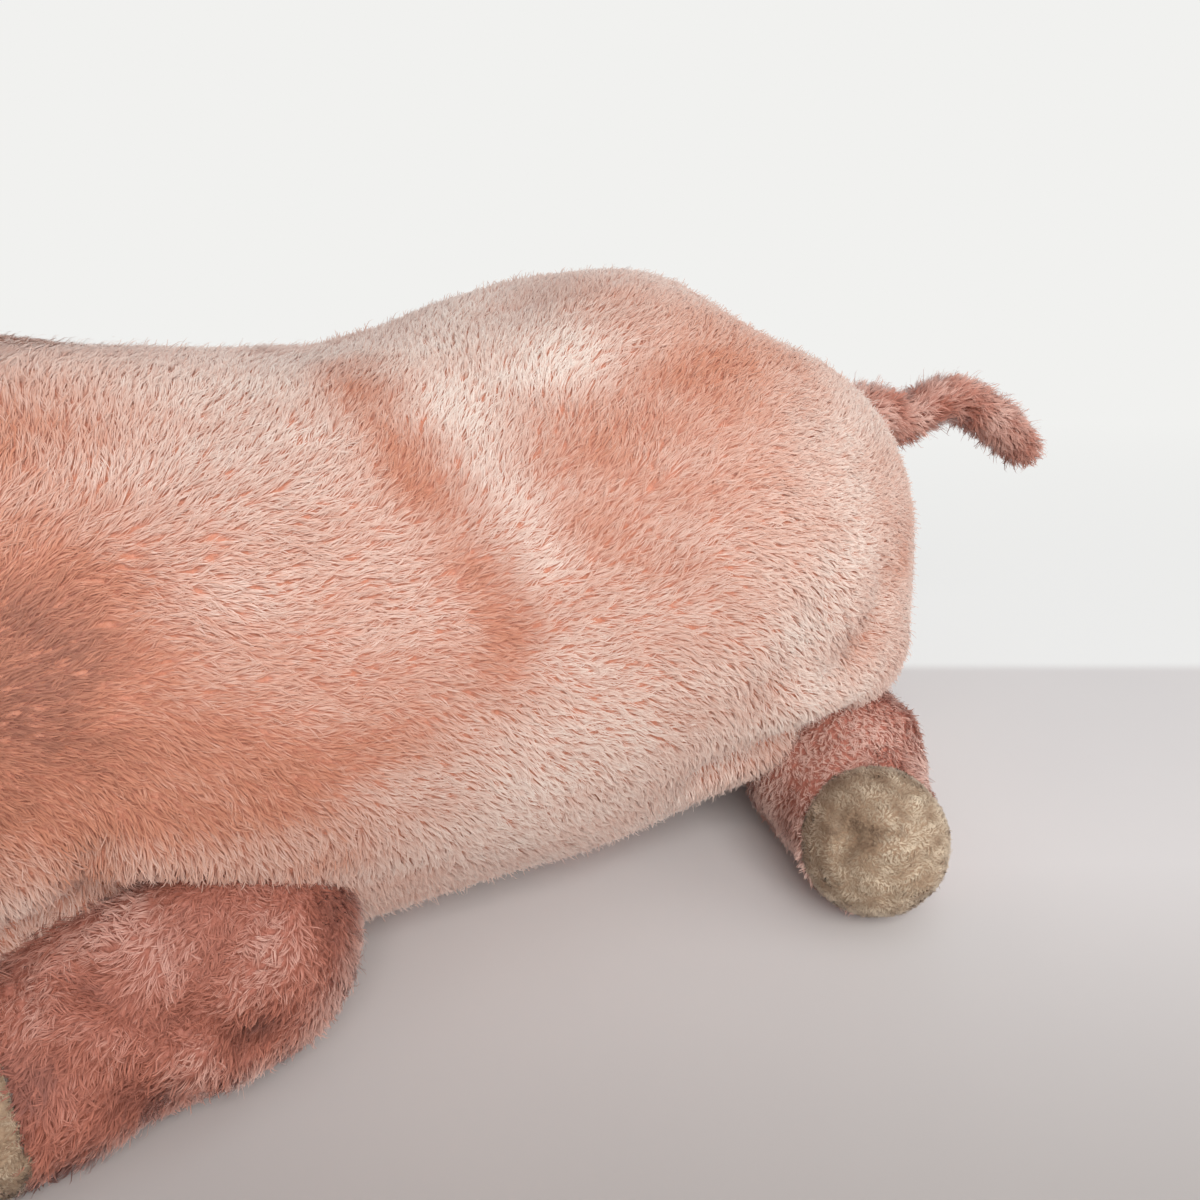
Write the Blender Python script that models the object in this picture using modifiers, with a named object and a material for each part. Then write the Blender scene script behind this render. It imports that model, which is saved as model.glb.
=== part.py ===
"""A plush pig lying on its belly: sewn plush covers, the stuffing in them, and what is sewn or pressed on.

Metres, +Z up. The head is toward -X, the tail toward +X and the pig's left side toward -Y.
The origin is on the table, in the middle of the flat of the belly.
"""

import math

import bmesh
import bpy
from mathutils import Matrix, Vector
from mathutils.bvhtree import BVHTree

# Cloth and fits, shared by every piece
plush_thickness = 0.0025      # backing of the plush and the packed foot of its pile
short_pile_thickness = 0.0020  # cloth of the hooves, the snout and the ear linings
inner_margin = 0.0025         # how much further in the straight-sided forms that no one sees are drawn
seam_gap = 0.0003             # between a cover and what fills it or is sewn to it
joint_gap = 0.0004            # between a limb and the seat that it turns in
overrun = 0.020               # how far a cutter runs past what it cuts

# Body, from the neck end to the rump
body_front = -0.180
body_length = 0.3285
body_width = 0.166
body_height = 0.175
table_press = 0.0008          # how much of a form's underside the table flattens
body_end_wall = 0.009         # how much further the inner forms stop short of the rounded ends
body_sides = 12
belly_power = 2.05            # 2 is a round underside, more is a squarer one
body_station_shares = (
    # along the length, width, underside and back as shares of the height
    (0.000, 0.48, 0.25, 0.76),
    (0.062, 0.75, 0.09, 0.91),
    (0.166, 0.96, 0.00, 0.99),
    (0.352, 0.98, 0.00, 0.93),
    (0.486, 0.99, 0.00, 0.95),
    (0.652, 1.01, 0.00, 1.01),
    (0.797, 0.91, 0.03, 0.92),
    (0.898, 0.70, 0.05, 0.80),
    (0.962, 0.43, 0.13, 0.68),
    (1.000, 0.20, 0.24, 0.55),
)

# Head, a ball that turns in the neck end of the body, with cheeks and a muzzle in front of it
neck_x = -0.207
neck_height = 0.089
skull_radius = 0.066
skull_sides = 28
neck_opening_radius = 0.026
muzzle_length = 0.092         # from the middle of the skull to the face of the snout
cheek_width = 0.138
cheek_height = 0.126
muzzle_station_shares = (
    # along the muzzle, width, underside and top as shares of the cheeks' height about the skull
    (0.00, 0.80, -0.42, 0.44),
    (0.32, 0.98, -0.50, 0.45),
    (0.56, 0.90, -0.49, 0.35),
    (0.74, 0.56, -0.42, 0.12),
    (0.80, 0.38, -0.37, 0.02),
    (1.00, 0.35, -0.35, 0.00),
)

# Snout pad and nostrils
snout_width = 0.046
snout_height = 0.038
snout_thickness = 0.005
snout_rounding = 0.0014
snout_flat = 0.0020           # how much of the muzzle's end is flattened under the pad
nostril_width = 0.0050
nostril_height = 0.0090
nostril_spacing = 0.0160
thread_height = 0.0010

# Eyes, domes on stems that a lock washer holds behind the cloth
eye_radius = 0.0065
eye_dome_height = 0.0042
eye_stem_radius = 0.0016
eye_stem_length = 0.0110
eye_washer_radius = 0.0065
eye_washer_thickness = 0.0014
eye_out_angle = math.radians(34)
eye_up_angle = math.radians(20)

# Ears, a leaf of plush and a leaf of lining, pinched at the root
ear_length = 0.066
ear_width = 0.056
ear_root_radius = 0.0085
ear_cup = 0.0040              # how far the leaf's edges curl out of its plane
ear_layer_gap = 0.0006
ear_droop = math.radians(20)  # of the leaf below level
ear_forward = math.radians(22)
ear_root_out = math.radians(46)
ear_root_forward_share = 0.25
ear_lining_share = 0.84
ear_across_steps = 4
ear_start_share = 0.8         # of the root's knot, where the leaf spreads from it
ear_width_shares = (0.42, 0.76, 0.96, 1.00, 0.92, 0.73, 0.45, 0.14)

# Legs: a hip ball that sits in the body, a limb and a hoof
leg_sides = 8
hip_sides = 16
inner_sides = 12              # of the balls, domes and knots that no one sees
swing_steps = 2
hip_mouth_radius = 0.013
hoof_length = 0.021
hoof_swell = 0.0012           # how far the hoof stands out past the end of the leg
cleft_radius = 0.0009         # of the groove that the stitch pulls into the hoof
cleft_start = math.radians(8)  # from the middle of the hoof's face, up over its top
cleft_end = math.radians(66)
cleft_steps = 6
stitch_radius = 0.0005

front_hip_x = -0.099
front_hip_y = 0.060
front_hip_radius = 0.0310
front_leg_radius = 0.0205     # at the hoof seam
front_leg_reach = 0.0615      # from the hip to the hoof seam
front_leg_heading = math.radians(74)   # from straight out toward the head
front_hoof_tilt = math.radians(4)
front_swing_in = math.radians(8)       # toward the head
front_swing_out = math.radians(32)     # toward the tail

rear_hip_x = 0.092
rear_hip_y = 0.056
rear_hip_radius = 0.0270
rear_leg_radius = 0.0205
rear_leg_reach = 0.038
rear_leg_heading = math.radians(18)
rear_hoof_tilt = math.radians(24)
rear_hoof_lift = 0.0018       # how far the tilted hoof's seam is off the table
rear_swing_in = math.radians(20)
rear_swing_out = math.radians(25)

leg_station_shares = (
    # along the reach, and how much of the way the radius has gone from hip to hoof
    (0.10, 0.45),
    (0.45, 0.35),
    (0.72, 0.75),
    (1.00, 1.00),
)

# Tail, a thin S-curved tube that turns at its root
tail_root_x = body_front + body_length * 0.963
tail_root_height = body_height * 0.68
tail_root_radius = 0.0085
tail_radius = 0.0052
tail_wall = 0.0020
tail_mouth_radius = 0.0030
tail_length = 0.0810
tail_wave = 0.0090
tail_sides = 6
tail_station_shares = (
    # along the length, height as a share of the wave, radius as a share of the tail's
    (0.00, 0.00, 1.00),
    (0.17, -0.42, 1.00),
    (0.36, 0.20, 0.98),
    (0.55, 0.78, 0.98),
    (0.76, 0.05, 0.96),
    (0.92, -0.95, 0.92),
    (1.00, -1.50, 0.70),
)


def plush_material(name, colour, roughness):
    """A plain coloured cloth or plastic."""
    material = bpy.data.materials.new(name)
    material.use_nodes = True
    shader = material.node_tree.nodes["Principled BSDF"]
    shader.inputs["Base Color"].default_value = (*colour, 1.0)
    shader.inputs["Roughness"].default_value = roughness
    shader.inputs["Metallic"].default_value = 0.0
    return material


for old in list(bpy.data.objects):
    bpy.data.objects.remove(old, do_unlink=True)

pig = bpy.data.collections.new("plush_pig")
cutters = bpy.data.collections.new("cutters")
bpy.context.scene.collection.children.link(pig)
bpy.context.scene.collection.children.link(cutters)

pink_plush = plush_material("pink_plush", (0.62, 0.31, 0.25), 0.95)
pale_lining = plush_material("pale_lining", (0.66, 0.38, 0.32), 0.95)
taupe_cloth = plush_material("taupe_cloth", (0.45, 0.37, 0.28), 0.95)
white_fibre = plush_material("white_fibre", (0.85, 0.85, 0.82), 0.98)
black_plastic = plush_material("black_plastic", (0.01, 0.01, 0.01), 0.12)
brown_thread = plush_material("brown_thread", (0.20, 0.12, 0.09), 0.80)
clear_plastic = plush_material("washer_plastic", (0.75, 0.75, 0.72), 0.35)


# Building blocks

def add_object(name, mesh, material=None):
    """Put a mesh in the scene: with a material it is a piece, without one it is a cutter."""
    obj = bpy.data.objects.new(name, mesh)
    if material is None:
        cutters.objects.link(obj)
        obj.hide_render = True
        obj.display_type = "WIRE"
    else:
        pig.objects.link(obj)
        mesh.materials.append(material)
    return obj


def boolean(obj, other, operation):
    """Cut a piece with another form, or join the form to it."""
    modifier = obj.modifiers.new(operation.lower() + "_" + other.name, "BOOLEAN")
    modifier.operation = operation
    modifier.solver = "EXACT"
    modifier.object = other


def cut(obj, *others):
    """Take the other forms out of a piece."""
    for other in others:
        boolean(obj, other, "DIFFERENCE")


def join(obj, *others):
    """Make the other forms part of a piece."""
    for other in others:
        boolean(obj, other, "UNION")


def smooth(obj, angle=math.radians(40)):
    """Shade a piece's round stretches smooth."""
    obj.data.shade_smooth()
    obj.data.set_sharp_from_angle(angle=angle)


def ball_mesh(name, radius, sides, stretch=(1.0, 1.0, 1.0)):
    """A ball with its poles on Z, stretched into an egg if need be."""
    mesh = bpy.data.meshes.new(name)
    shape = bmesh.new()
    bmesh.ops.create_uvsphere(shape, u_segments=sides, v_segments=sides // 2, radius=radius)
    bmesh.ops.scale(shape, vec=stretch, verts=shape.verts)
    shape.to_mesh(mesh)
    shape.free()
    return mesh


def ball(name, centre, radius, sides, poles=Vector((0, 0, 1)), spread=1.0):
    """A ball at a place, with its poles on an axis, spread a little across that axis if need be."""
    obj = add_object(name, ball_mesh(name, radius, sides, (spread, spread, 1.0)))
    obj.rotation_euler = poles.to_track_quat("Z", "Y").to_euler()
    obj.location = centre
    return obj


def turning_spread(sides):
    """How much a seat is spread across its axis, so that a many-sided ball can turn in it."""
    return 1 / math.cos(math.pi / sides)


def seat_ball(name, centre, radius, sides, poles=Vector((0, 0, 1))):
    """A cutter ball that leaves room for a ball of as many sides to turn about its poles."""
    return ball(name, centre, radius, sides, poles, turning_spread(sides))


def rod(name, start, direction, radius, length, sides=16, material=None):
    """A round rod that runs from a place along a direction."""
    mesh = bpy.data.meshes.new(name)
    shape = bmesh.new()
    bmesh.ops.create_cone(
        shape, cap_ends=True, segments=sides, radius1=radius, radius2=radius, depth=length)
    shape.to_mesh(mesh)
    shape.free()
    obj = add_object(name, mesh, material)
    obj.rotation_euler = direction.to_track_quat("Z", "Y").to_euler()
    obj.location = start + direction.normalized() * length / 2
    return obj


def box(name, low, high):
    """A cutter box between two corners."""
    mesh = bpy.data.meshes.new(name)
    shape = bmesh.new()
    bmesh.ops.create_cube(shape, size=1.0)
    bmesh.ops.scale(shape, vec=high - low, verts=shape.verts)
    bmesh.ops.translate(shape, vec=(low + high) / 2, verts=shape.verts)
    shape.to_mesh(mesh)
    shape.free()
    return add_object(name, mesh)


def cage_swell(sides, smoothed):
    """How much wider than its smoothed form a ring of a cage has to be."""
    return 1 / (2 / 3 + math.cos(2 * math.pi / sides) / 3) if smoothed else 1.0


def soft_form(name, rings, smoothed, material=None):
    """A swelling form: a coarse cage of rings with a face on each end, smoothed once if it shows."""
    mesh = bpy.data.meshes.new(name)
    shape = bmesh.new()
    rows = [[shape.verts.new(point) for point in ring] for ring in rings]
    for row, after in zip(rows, rows[1:]):
        for k in range(len(row)):
            nxt = (k + 1) % len(row)
            shape.faces.new((row[k], row[nxt], after[nxt], after[k]))
    shape.faces.new(rows[0])
    shape.faces.new(rows[-1])
    bmesh.ops.recalc_face_normals(shape, faces=shape.faces)
    if not smoothed:
        # The same corner-to-corner split on every nested form keeps their faces parallel
        bmesh.ops.triangulate(shape, faces=shape.faces, quad_method="FIXED")
    shape.to_mesh(mesh)
    shape.free()
    obj = add_object(name, mesh, material)
    if smoothed:
        subdivision = obj.modifiers.new("smoothed", "SUBSURF")
        subdivision.levels = 1
        subdivision.render_levels = 1
    return obj


def round_ring(centre, normal, radius, sides, smoothed):
    """A ring of cage points about a centre, square to a direction."""
    side = normal.cross(Vector((0, 0, 1))).normalized()
    up = side.cross(normal).normalized()
    wide = radius * cage_swell(sides, smoothed)
    ring = []
    for k in range(sides):
        angle = 2 * math.pi * (k + 0.5) / sides
        ring.append(centre + side * wide * math.cos(angle) + up * wide * math.sin(angle))
    return ring


def flat_bottomed_ring(x, half_width, bottom, top, sides, smoothed):
    """A ring of cage points across X: round above, squarer below."""
    middle = (bottom + top) / 2
    wide = half_width * cage_swell(sides, smoothed)
    tall = (top - bottom) / 2 * cage_swell(sides, smoothed)
    ring = []
    for k in range(sides):
        angle = 2 * math.pi * (k + 0.5) / sides
        power = 2 / belly_power if math.sin(angle) < 0 else 1.0
        across = math.copysign(abs(math.cos(angle)) ** power, math.cos(angle))
        upward = math.copysign(abs(math.sin(angle)) ** power, math.sin(angle))
        ring.append(Vector((x, wide * across, middle + tall * upward)))
    return ring


# Places that several pieces share

neck = Vector((neck_x, 0, neck_height))
tail_root = Vector((tail_root_x, 0, tail_root_height))
sides = (("left", -1), ("right", 1))
ear_hinge = Vector((1, 0, 0))


def table_slab(name, height):
    """A cutter that flattens what reaches below a height."""
    reach = body_length + overrun
    return box(name, Vector((-reach, -reach, height - overrun)), Vector((reach, reach, height)))


def leg_layout(which, side):
    """Where one leg's hip, hoof seam and hoof lie, and how it swings."""
    front = which == "front"
    hip_radius = front_hip_radius if front else rear_hip_radius
    hip_x = front_hip_x if front else rear_hip_x
    hip_y = front_hip_y if front else rear_hip_y
    heading = front_leg_heading if front else rear_leg_heading
    reach = front_leg_reach if front else rear_leg_reach
    tilt = front_hoof_tilt if front else rear_hoof_tilt
    end_radius = front_leg_radius if front else rear_leg_radius
    hip = Vector((hip_x, side * hip_y, hip_radius - table_press))
    level = Vector((-math.sin(heading), side * math.cos(heading), 0))
    seam = hip + level * reach
    seam.z = end_radius - table_press + (0 if front else rear_hoof_lift)
    axis = level * math.cos(tilt) + Vector((0, 0, math.sin(tilt)))
    return {
        "hip": hip, "hip_radius": hip_radius, "seam": seam, "end_radius": end_radius,
        "run": (seam - hip).normalized(), "axis": axis, "side": side,
        "swing_in": front_swing_in if front else rear_swing_in,
        "swing_out": front_swing_out if front else rear_swing_out,
    }


def leg_rings(leg, inset, smoothed, past_seam=0.0):
    """The rings of one leg's limb, from inside the hip ball to the hoof seam."""
    rings = []
    for along_share, taper_share in leg_station_shares:
        centre = leg["hip"].lerp(leg["seam"], along_share)
        radius = leg["hip_radius"] + (leg["end_radius"] - leg["hip_radius"]) * taper_share
        normal = leg["run"].lerp(leg["axis"], along_share).normalized()
        rings.append(round_ring(centre, normal, radius - inset, leg_sides, smoothed))
    end = leg["seam"] + leg["axis"] * past_seam
    if past_seam:
        rings.append(round_ring(end, leg["axis"], leg["end_radius"] - inset, leg_sides, smoothed))
    return rings


def swing_room(name, leg, swell):
    """The room that a leg needs in the body: its hull over the whole swing, with a gap."""
    mesh = bpy.data.meshes.new(name)
    shape = bmesh.new()
    hip = leg["hip"]
    corners = []
    spread = turning_spread(hip_sides)
    seat = ball_mesh(name + "_seat", leg["hip_radius"] + swell, hip_sides, (spread, spread, 1.0))
    corners += [vert.co + hip for vert in seat.vertices]
    for step in range(swing_steps + 1):
        turn = leg["swing_out"] - (leg["swing_out"] + leg["swing_in"]) * step / swing_steps
        spin = Matrix.Rotation(-turn * leg["side"], 3, "Z")
        for ring in leg_rings(leg, -swell, True, hoof_length + swell):
            corners += [spin @ (point - hip) + hip for point in ring]
    for point in corners:
        shape.verts.new(point)
    hull = bmesh.ops.convex_hull(shape, input=shape.verts)
    spare = [item for item in hull["geom_interior"] if isinstance(item, bmesh.types.BMVert)]
    bmesh.ops.delete(shape, geom=spare, context="VERTS")
    bmesh.ops.recalc_face_normals(shape, faces=shape.faces)
    shape.to_mesh(mesh)
    shape.free()
    return add_object(name, mesh)


legs = {
    "front_left": leg_layout("front", -1),
    "front_right": leg_layout("front", 1),
    "rear_left": leg_layout("rear", -1),
    "rear_right": leg_layout("rear", 1),
}


# Body: a plush cover round one block of stuffing

def body_form(name, inset, gap, material=None):
    """The body's form, drawn in by an inset, with seats for the legs, the head and the tail."""
    smoothed = inset == 0
    end_inset = inset if smoothed else inset + body_end_wall
    rings = []
    for along_share, width_share, bottom_share, top_share in body_station_shares:
        x = body_front + end_inset + along_share * (body_length - 2 * end_inset)
        half_width = width_share * body_width / 2 - inset
        bottom = bottom_share * body_height + inset - table_press
        top = top_share * body_height - inset
        rings.append(flat_bottomed_ring(x, half_width, bottom, top, body_sides, smoothed))
    form = soft_form(name, rings, smoothed, material)
    cut(form, table_slab(name + "_table", inset))
    for leg_name, leg in legs.items():
        cut(form, swing_room(name + "_" + leg_name + "_room", leg, gap + inset))
    neck_sides = skull_sides if smoothed else inner_sides
    cut(form, seat_ball(name + "_neck_seat", neck, skull_radius + gap + inset, neck_sides))
    cut(form, seat_ball(name + "_tail_seat", tail_root, tail_root_radius + gap + inset, inner_sides))
    return form


body_cover = body_form("body_cover", 0.0, joint_gap, pink_plush)
body_wall = plush_thickness + inner_margin
cut(body_cover, body_form("body_hollow", body_wall, joint_gap))
cut(body_cover, rod("body_neck_opening", neck, Vector((1, 0, 0)),
                    neck_opening_radius, skull_radius + overrun, body_sides * 2))
smooth(body_cover)

body_stuffing = body_form("body_stuffing", body_wall + seam_gap, joint_gap, white_fibre)
smooth(body_stuffing)


# Legs: a plush cover open at the hip, a short-pile hoof and the stuffing in both

def leg_form(name, leg, inset, past_seam=0.0, material=None):
    """One leg without its hoof, drawn in by an inset."""
    smoothed = inset == 0
    form = soft_form(name, leg_rings(leg, inset, smoothed, past_seam), smoothed, material)
    ball_sides = hip_sides if smoothed else inner_sides
    join(form, ball(name + "_hip", leg["hip"], leg["hip_radius"] - inset, ball_sides))
    return form


def hoof_dome(name, leg, inset, material=None):
    """One hoof's domed end, drawn in by an inset."""
    radius = leg["end_radius"] + hoof_swell - inset
    length_share = (hoof_length - inset) / radius
    dome_sides = hip_sides if inset == 0 else inner_sides
    dome = add_object(name, ball_mesh(name, radius, dome_sides, (1.0, 1.0, length_share)), material)
    dome.rotation_euler = leg["axis"].to_track_quat("Z", "Y").to_euler()
    dome.location = leg["seam"]
    return dome


def behind_seam(name, leg, past_seam):
    """A cutter that takes away what lies on the hip's side of the hoof seam."""
    start = leg["seam"] + leg["axis"] * past_seam
    return rod(name, start, -leg["axis"], leg["hip_radius"] * 2, overrun * 2, leg_sides * 2)


hooves = {}
for leg_name, leg in legs.items():
    cover = leg_form(leg_name + "_leg_cover", leg, 0.0, 0.0, pink_plush)
    cut(cover, rod(leg_name + "_leg_end", leg["seam"], leg["axis"],
                   leg["hip_radius"] * 2, overrun * 2, leg_sides * 2))
    cut(cover, leg_form(leg_name + "_leg_hollow", leg, plush_thickness, overrun))
    cut(cover, rod(leg_name + "_hip_mouth", leg["hip"], -leg["run"],
                   hip_mouth_radius, leg["hip_radius"] + overrun, leg_sides * 2))
    cut(cover, table_slab(leg_name + "_leg_table", 0.0))
    smooth(cover)

    hoof = hoof_dome(leg_name + "_hoof_cap", leg, 0.0, taupe_cloth)
    cut(hoof, behind_seam(leg_name + "_hoof_edge", leg, seam_gap))
    cut(hoof, hoof_dome(leg_name + "_hoof_hollow", leg, short_pile_thickness))
    cut(hoof, table_slab(leg_name + "_hoof_table", 0.0))
    hooves[leg_name] = hoof
    smooth(hoof)

    filling_inset = plush_thickness + seam_gap
    filling = leg_form(leg_name + "_leg_stuffing", leg, filling_inset, hoof_length / 4, white_fibre)
    toe = hoof_dome(leg_name + "_toe_stuffing", leg, filling_inset)
    cut(toe, behind_seam(leg_name + "_toe_edge", leg, seam_gap))
    join(filling, toe)
    cut(filling, table_slab(leg_name + "_stuffing_table", filling_inset))
    smooth(filling)


# Head: a plush cover round its stuffing, which turns in the neck end of the body

def head_form(name, inset, material=None):
    """The head's form, drawn in by an inset."""
    smoothed = inset == 0
    rings = []
    for along_share, width_share, bottom_share, top_share in muzzle_station_shares:
        x = neck_x - along_share * (muzzle_length - inset)
        half_width = width_share * cheek_width / 2 - inset
        bottom = neck_height + bottom_share * cheek_height + inset
        top = neck_height + top_share * cheek_height - inset
        rings.append(flat_bottomed_ring(x, half_width, bottom, top, body_sides, smoothed))
    form = soft_form(name, rings, smoothed, material)
    ball_sides = skull_sides if smoothed else inner_sides
    join(form, ball(name + "_skull", neck, skull_radius - inset, ball_sides))
    return form


def eye_direction(side):
    """The way that one eye looks out of the skull."""
    level = Vector((-math.cos(eye_out_angle), side * math.sin(eye_out_angle), 0))
    return level * math.cos(eye_up_angle) + Vector((0, 0, math.sin(eye_up_angle)))


def ear_place(side):
    """The middle of one ear's root on the skull."""
    out = Vector((-ear_root_forward_share, side * math.sin(ear_root_out), math.cos(ear_root_out)))
    return neck + out.normalized() * skull_radius


def surface_point(form, start, direction):
    """Where a line from inside a form leaves it, and the way its surface faces there."""
    tree = BVHTree.FromObject(form, bpy.context.evaluated_depsgraph_get())
    place, facing, _, _ = tree.ray_cast(start, direction)
    return place, facing


def deepest_wall(hollow, outside, facing, radius):
    """How deep the cloth goes, at most, under a disc that lies on it."""
    tree = BVHTree.FromObject(hollow, bpy.context.evaluated_depsgraph_get())
    turn = facing.to_track_quat("Z", "Y")
    depths = []
    for k in range(inner_sides):
        angle = 2 * math.pi * k / inner_sides
        rim = turn @ Vector((radius * math.cos(angle), radius * math.sin(angle), 0))
        place, _, _, _ = tree.ray_cast(outside + rim - facing * overrun, facing)
        depths.append((outside - place).dot(facing))
    return max(depths)


muzzle_face = neck_x - muzzle_length + snout_flat
head_wall = plush_thickness + inner_margin
head_cover = head_form("head_cover", 0.0, pink_plush)
head_hollow = head_form("head_hollow", head_wall)
head_stuffing = head_form("head_stuffing", head_wall + seam_gap, white_fibre)
muzzle_far_corner = Vector((-body_length, -body_width, 0))
for form, inset in ((head_cover, 0.0), (head_hollow, head_wall), (head_stuffing, head_wall + seam_gap)):
    cut(form, box(form.name + "_muzzle_flat", muzzle_far_corner,
                  Vector((muzzle_face + inset, body_width, body_height))))
    for side_name, side in sides:
        cut(form, seat_ball(form.name + "_ear_seat_" + side_name, ear_place(side),
                            ear_root_radius + joint_gap + inset, inner_sides, ear_hinge))


# Eyes: a domed head on a stem through the cloth, and the lock washer on the stem inside

for side_name, side in sides:
    out_place, facing = surface_point(head_cover, neck, eye_direction(side))
    wall = deepest_wall(head_hollow, out_place, facing, eye_washer_radius)
    base = out_place + facing * seam_gap
    inner_face = out_place - facing * (wall + seam_gap)

    eye = add_object("eye_" + side_name, ball_mesh(
        "eye_" + side_name, eye_radius, inner_sides, (1.0, 1.0, eye_dome_height / eye_radius)), black_plastic)
    eye.location = base
    eye.rotation_euler = facing.to_track_quat("Z", "Y").to_euler()
    cut(eye, rod("eye_flat_" + side_name, base, -facing, eye_radius * 2, overrun, leg_sides * 2))
    join(eye, rod("eye_stem_" + side_name, base + facing * eye_stem_radius, -facing,
                  eye_stem_radius, eye_stem_length + eye_stem_radius, leg_sides))
    smooth(eye)

    washer = rod("eye_washer_" + side_name, inner_face, -facing,
                 eye_washer_radius, eye_washer_thickness, inner_sides, clear_plastic)
    cut(washer, rod("washer_bore_" + side_name, base, -facing,
                    eye_stem_radius + seam_gap, overrun, leg_sides))
    smooth(washer)

    stem_room = rod("stem_room_" + side_name, out_place + facing * overrun, -facing,
                    eye_stem_radius + seam_gap, overrun * 2, leg_sides)
    cut(head_cover, stem_room)
    pocket_depth = eye_stem_length - wall + seam_gap * 2
    cut(head_stuffing, rod("washer_room_" + side_name, out_place, -facing,
                           eye_washer_radius + seam_gap, wall + pocket_depth, inner_sides))

cut(head_cover, head_hollow)
cut(head_cover, rod("head_neck_opening", neck, Vector((1, 0, 0)),
                    neck_opening_radius, skull_radius + overrun, body_sides * 2))
smooth(head_cover)
smooth(head_stuffing)


# Snout: a short-pile pad sewn on the end of the muzzle, with two stitched nostrils

def oval_pad(name, centre, width, height, thickness, sides, material):
    """An oval pad that faces the way that the pig looks."""
    mesh = bpy.data.meshes.new(name)
    shape = bmesh.new()
    bmesh.ops.create_cone(
        shape, cap_ends=True, segments=sides, radius1=0.5, radius2=0.5, depth=1.0)
    bmesh.ops.rotate(shape, verts=shape.verts, matrix=Matrix.Rotation(math.pi / 2, 3, "Y"))
    bmesh.ops.scale(shape, vec=Vector((thickness, width, height)), verts=shape.verts)
    shape.to_mesh(mesh)
    shape.free()
    pad = add_object(name, mesh, material)
    pad.location = centre
    return pad


_, _, muzzle_bottom_share, muzzle_top_share = muzzle_station_shares[-1]
snout_middle = neck_height + (muzzle_bottom_share + muzzle_top_share) / 2 * cheek_height
pad_x = muzzle_face - seam_gap - snout_thickness / 2
snout = oval_pad("snout_pad", Vector((pad_x, 0, snout_middle)),
                 snout_width, snout_height, snout_thickness, body_sides * 2, pale_lining)
rounding = snout.modifiers.new("rounded rim", "BEVEL")
rounding.width = snout_rounding
rounding.segments = 2
rounding.angle_limit = math.radians(60)
smooth(snout)

nostril_x = muzzle_face - snout_thickness - seam_gap * 2 - thread_height / 2
for side_name, side in sides:
    nostril = oval_pad("nostril_" + side_name, Vector((nostril_x, side * nostril_spacing / 2, snout_middle)),
                       nostril_width, nostril_height, thread_height, body_sides, brown_thread)
    smooth(nostril)


# Ears: a plush leaf pinched to a knot that turns in the skull, with a lining under it

def ear_leaf(name, side, start, length, width, offset, thickness, material):
    """A cupped leaf that hangs out from one ear's root, drawn as a sheet with a thickness."""
    along = Vector((-math.sin(ear_forward) * math.cos(ear_droop),
                    side * math.cos(ear_forward) * math.cos(ear_droop), -math.sin(ear_droop)))
    across = along.cross(Vector((0, 0, side))).normalized()
    up = across.cross(along).normalized() * side
    mesh = bpy.data.meshes.new(name)
    shape = bmesh.new()
    rows = []
    for i, width_share in enumerate(ear_width_shares):
        run = start + (length - start) * i / (len(ear_width_shares) - 1)
        row = []
        for k in range(ear_across_steps + 1):
            share = 2 * k / ear_across_steps - 1
            lift = offset - ear_cup * share * share * width_share
            row.append(shape.verts.new(
                along * run + across * share * width_share * width / 2 + up * lift))
        rows.append(row)
    for row, after in zip(rows, rows[1:]):
        for k in range(ear_across_steps):
            shape.faces.new((row[k], row[k + 1], after[k + 1], after[k]))
    bmesh.ops.recalc_face_normals(shape, faces=shape.faces)
    shape.to_mesh(mesh)
    shape.free()
    leaf = add_object(name, mesh, material)
    leaf.location = ear_place(side)
    sheet = leaf.modifiers.new("cloth thickness", "SOLIDIFY")
    sheet.thickness = thickness
    sheet.offset = 0
    return leaf


for side_name, side in sides:
    outer = ear_leaf("ear_outer_" + side_name, side, ear_root_radius * ear_start_share, ear_length, ear_width,
                     0.0, plush_thickness, pink_plush)
    join(outer, ball("ear_knot_" + side_name, ear_place(side), ear_root_radius, inner_sides, ear_hinge))
    smooth(outer)
    layer_offset = (plush_thickness + short_pile_thickness) / 2 + ear_layer_gap
    lining = ear_leaf("ear_lining_" + side_name, side, ear_root_radius + layer_offset,
                      ear_length * (1 + ear_lining_share) / 2, ear_width * ear_lining_share,
                      -layer_offset, short_pile_thickness, pale_lining)
    smooth(lining)


# Tail: a thin plush tube with a soft core, on a knot that turns in the rump

def tail_form(name, inset, material=None):
    """The tail's tube, drawn in by an inset."""
    places = [tail_root + Vector((along * tail_length, 0, height * tail_wave))
              for along, height, _ in tail_station_shares]
    rings = []
    smoothed = inset == 0
    for i, (_, _, radius_share) in enumerate(tail_station_shares):
        ahead = places[min(i + 1, len(places) - 1)] - places[max(i - 1, 0)]
        normal = ahead.normalized()
        centre = places[i] - (normal * inset if i == len(places) - 1 else Vector((0, 0, 0)))
        radius = tail_radius * radius_share - inset
        rings.append(round_ring(centre, normal, radius, tail_sides, smoothed))
    return soft_form(name, rings, smoothed, material)


tail_cover = tail_form("tail_cover", 0.0, pink_plush)
join(tail_cover, ball("tail_knot", tail_root, tail_root_radius, inner_sides))
cut(tail_cover, tail_form("tail_hollow", tail_wall))
cut(tail_cover, rod("tail_mouth", tail_root + Vector((tail_radius, 0, 0)), Vector((-1, 0, 0)),
                    tail_mouth_radius, tail_root_radius + overrun, leg_sides))
smooth(tail_cover)

tail_core = tail_form("tail_core", tail_wall + seam_gap, white_fibre)
smooth(tail_core)


# Hoof clefts: a groove over the top of each hoof, with the stitch that pulls it in

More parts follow.
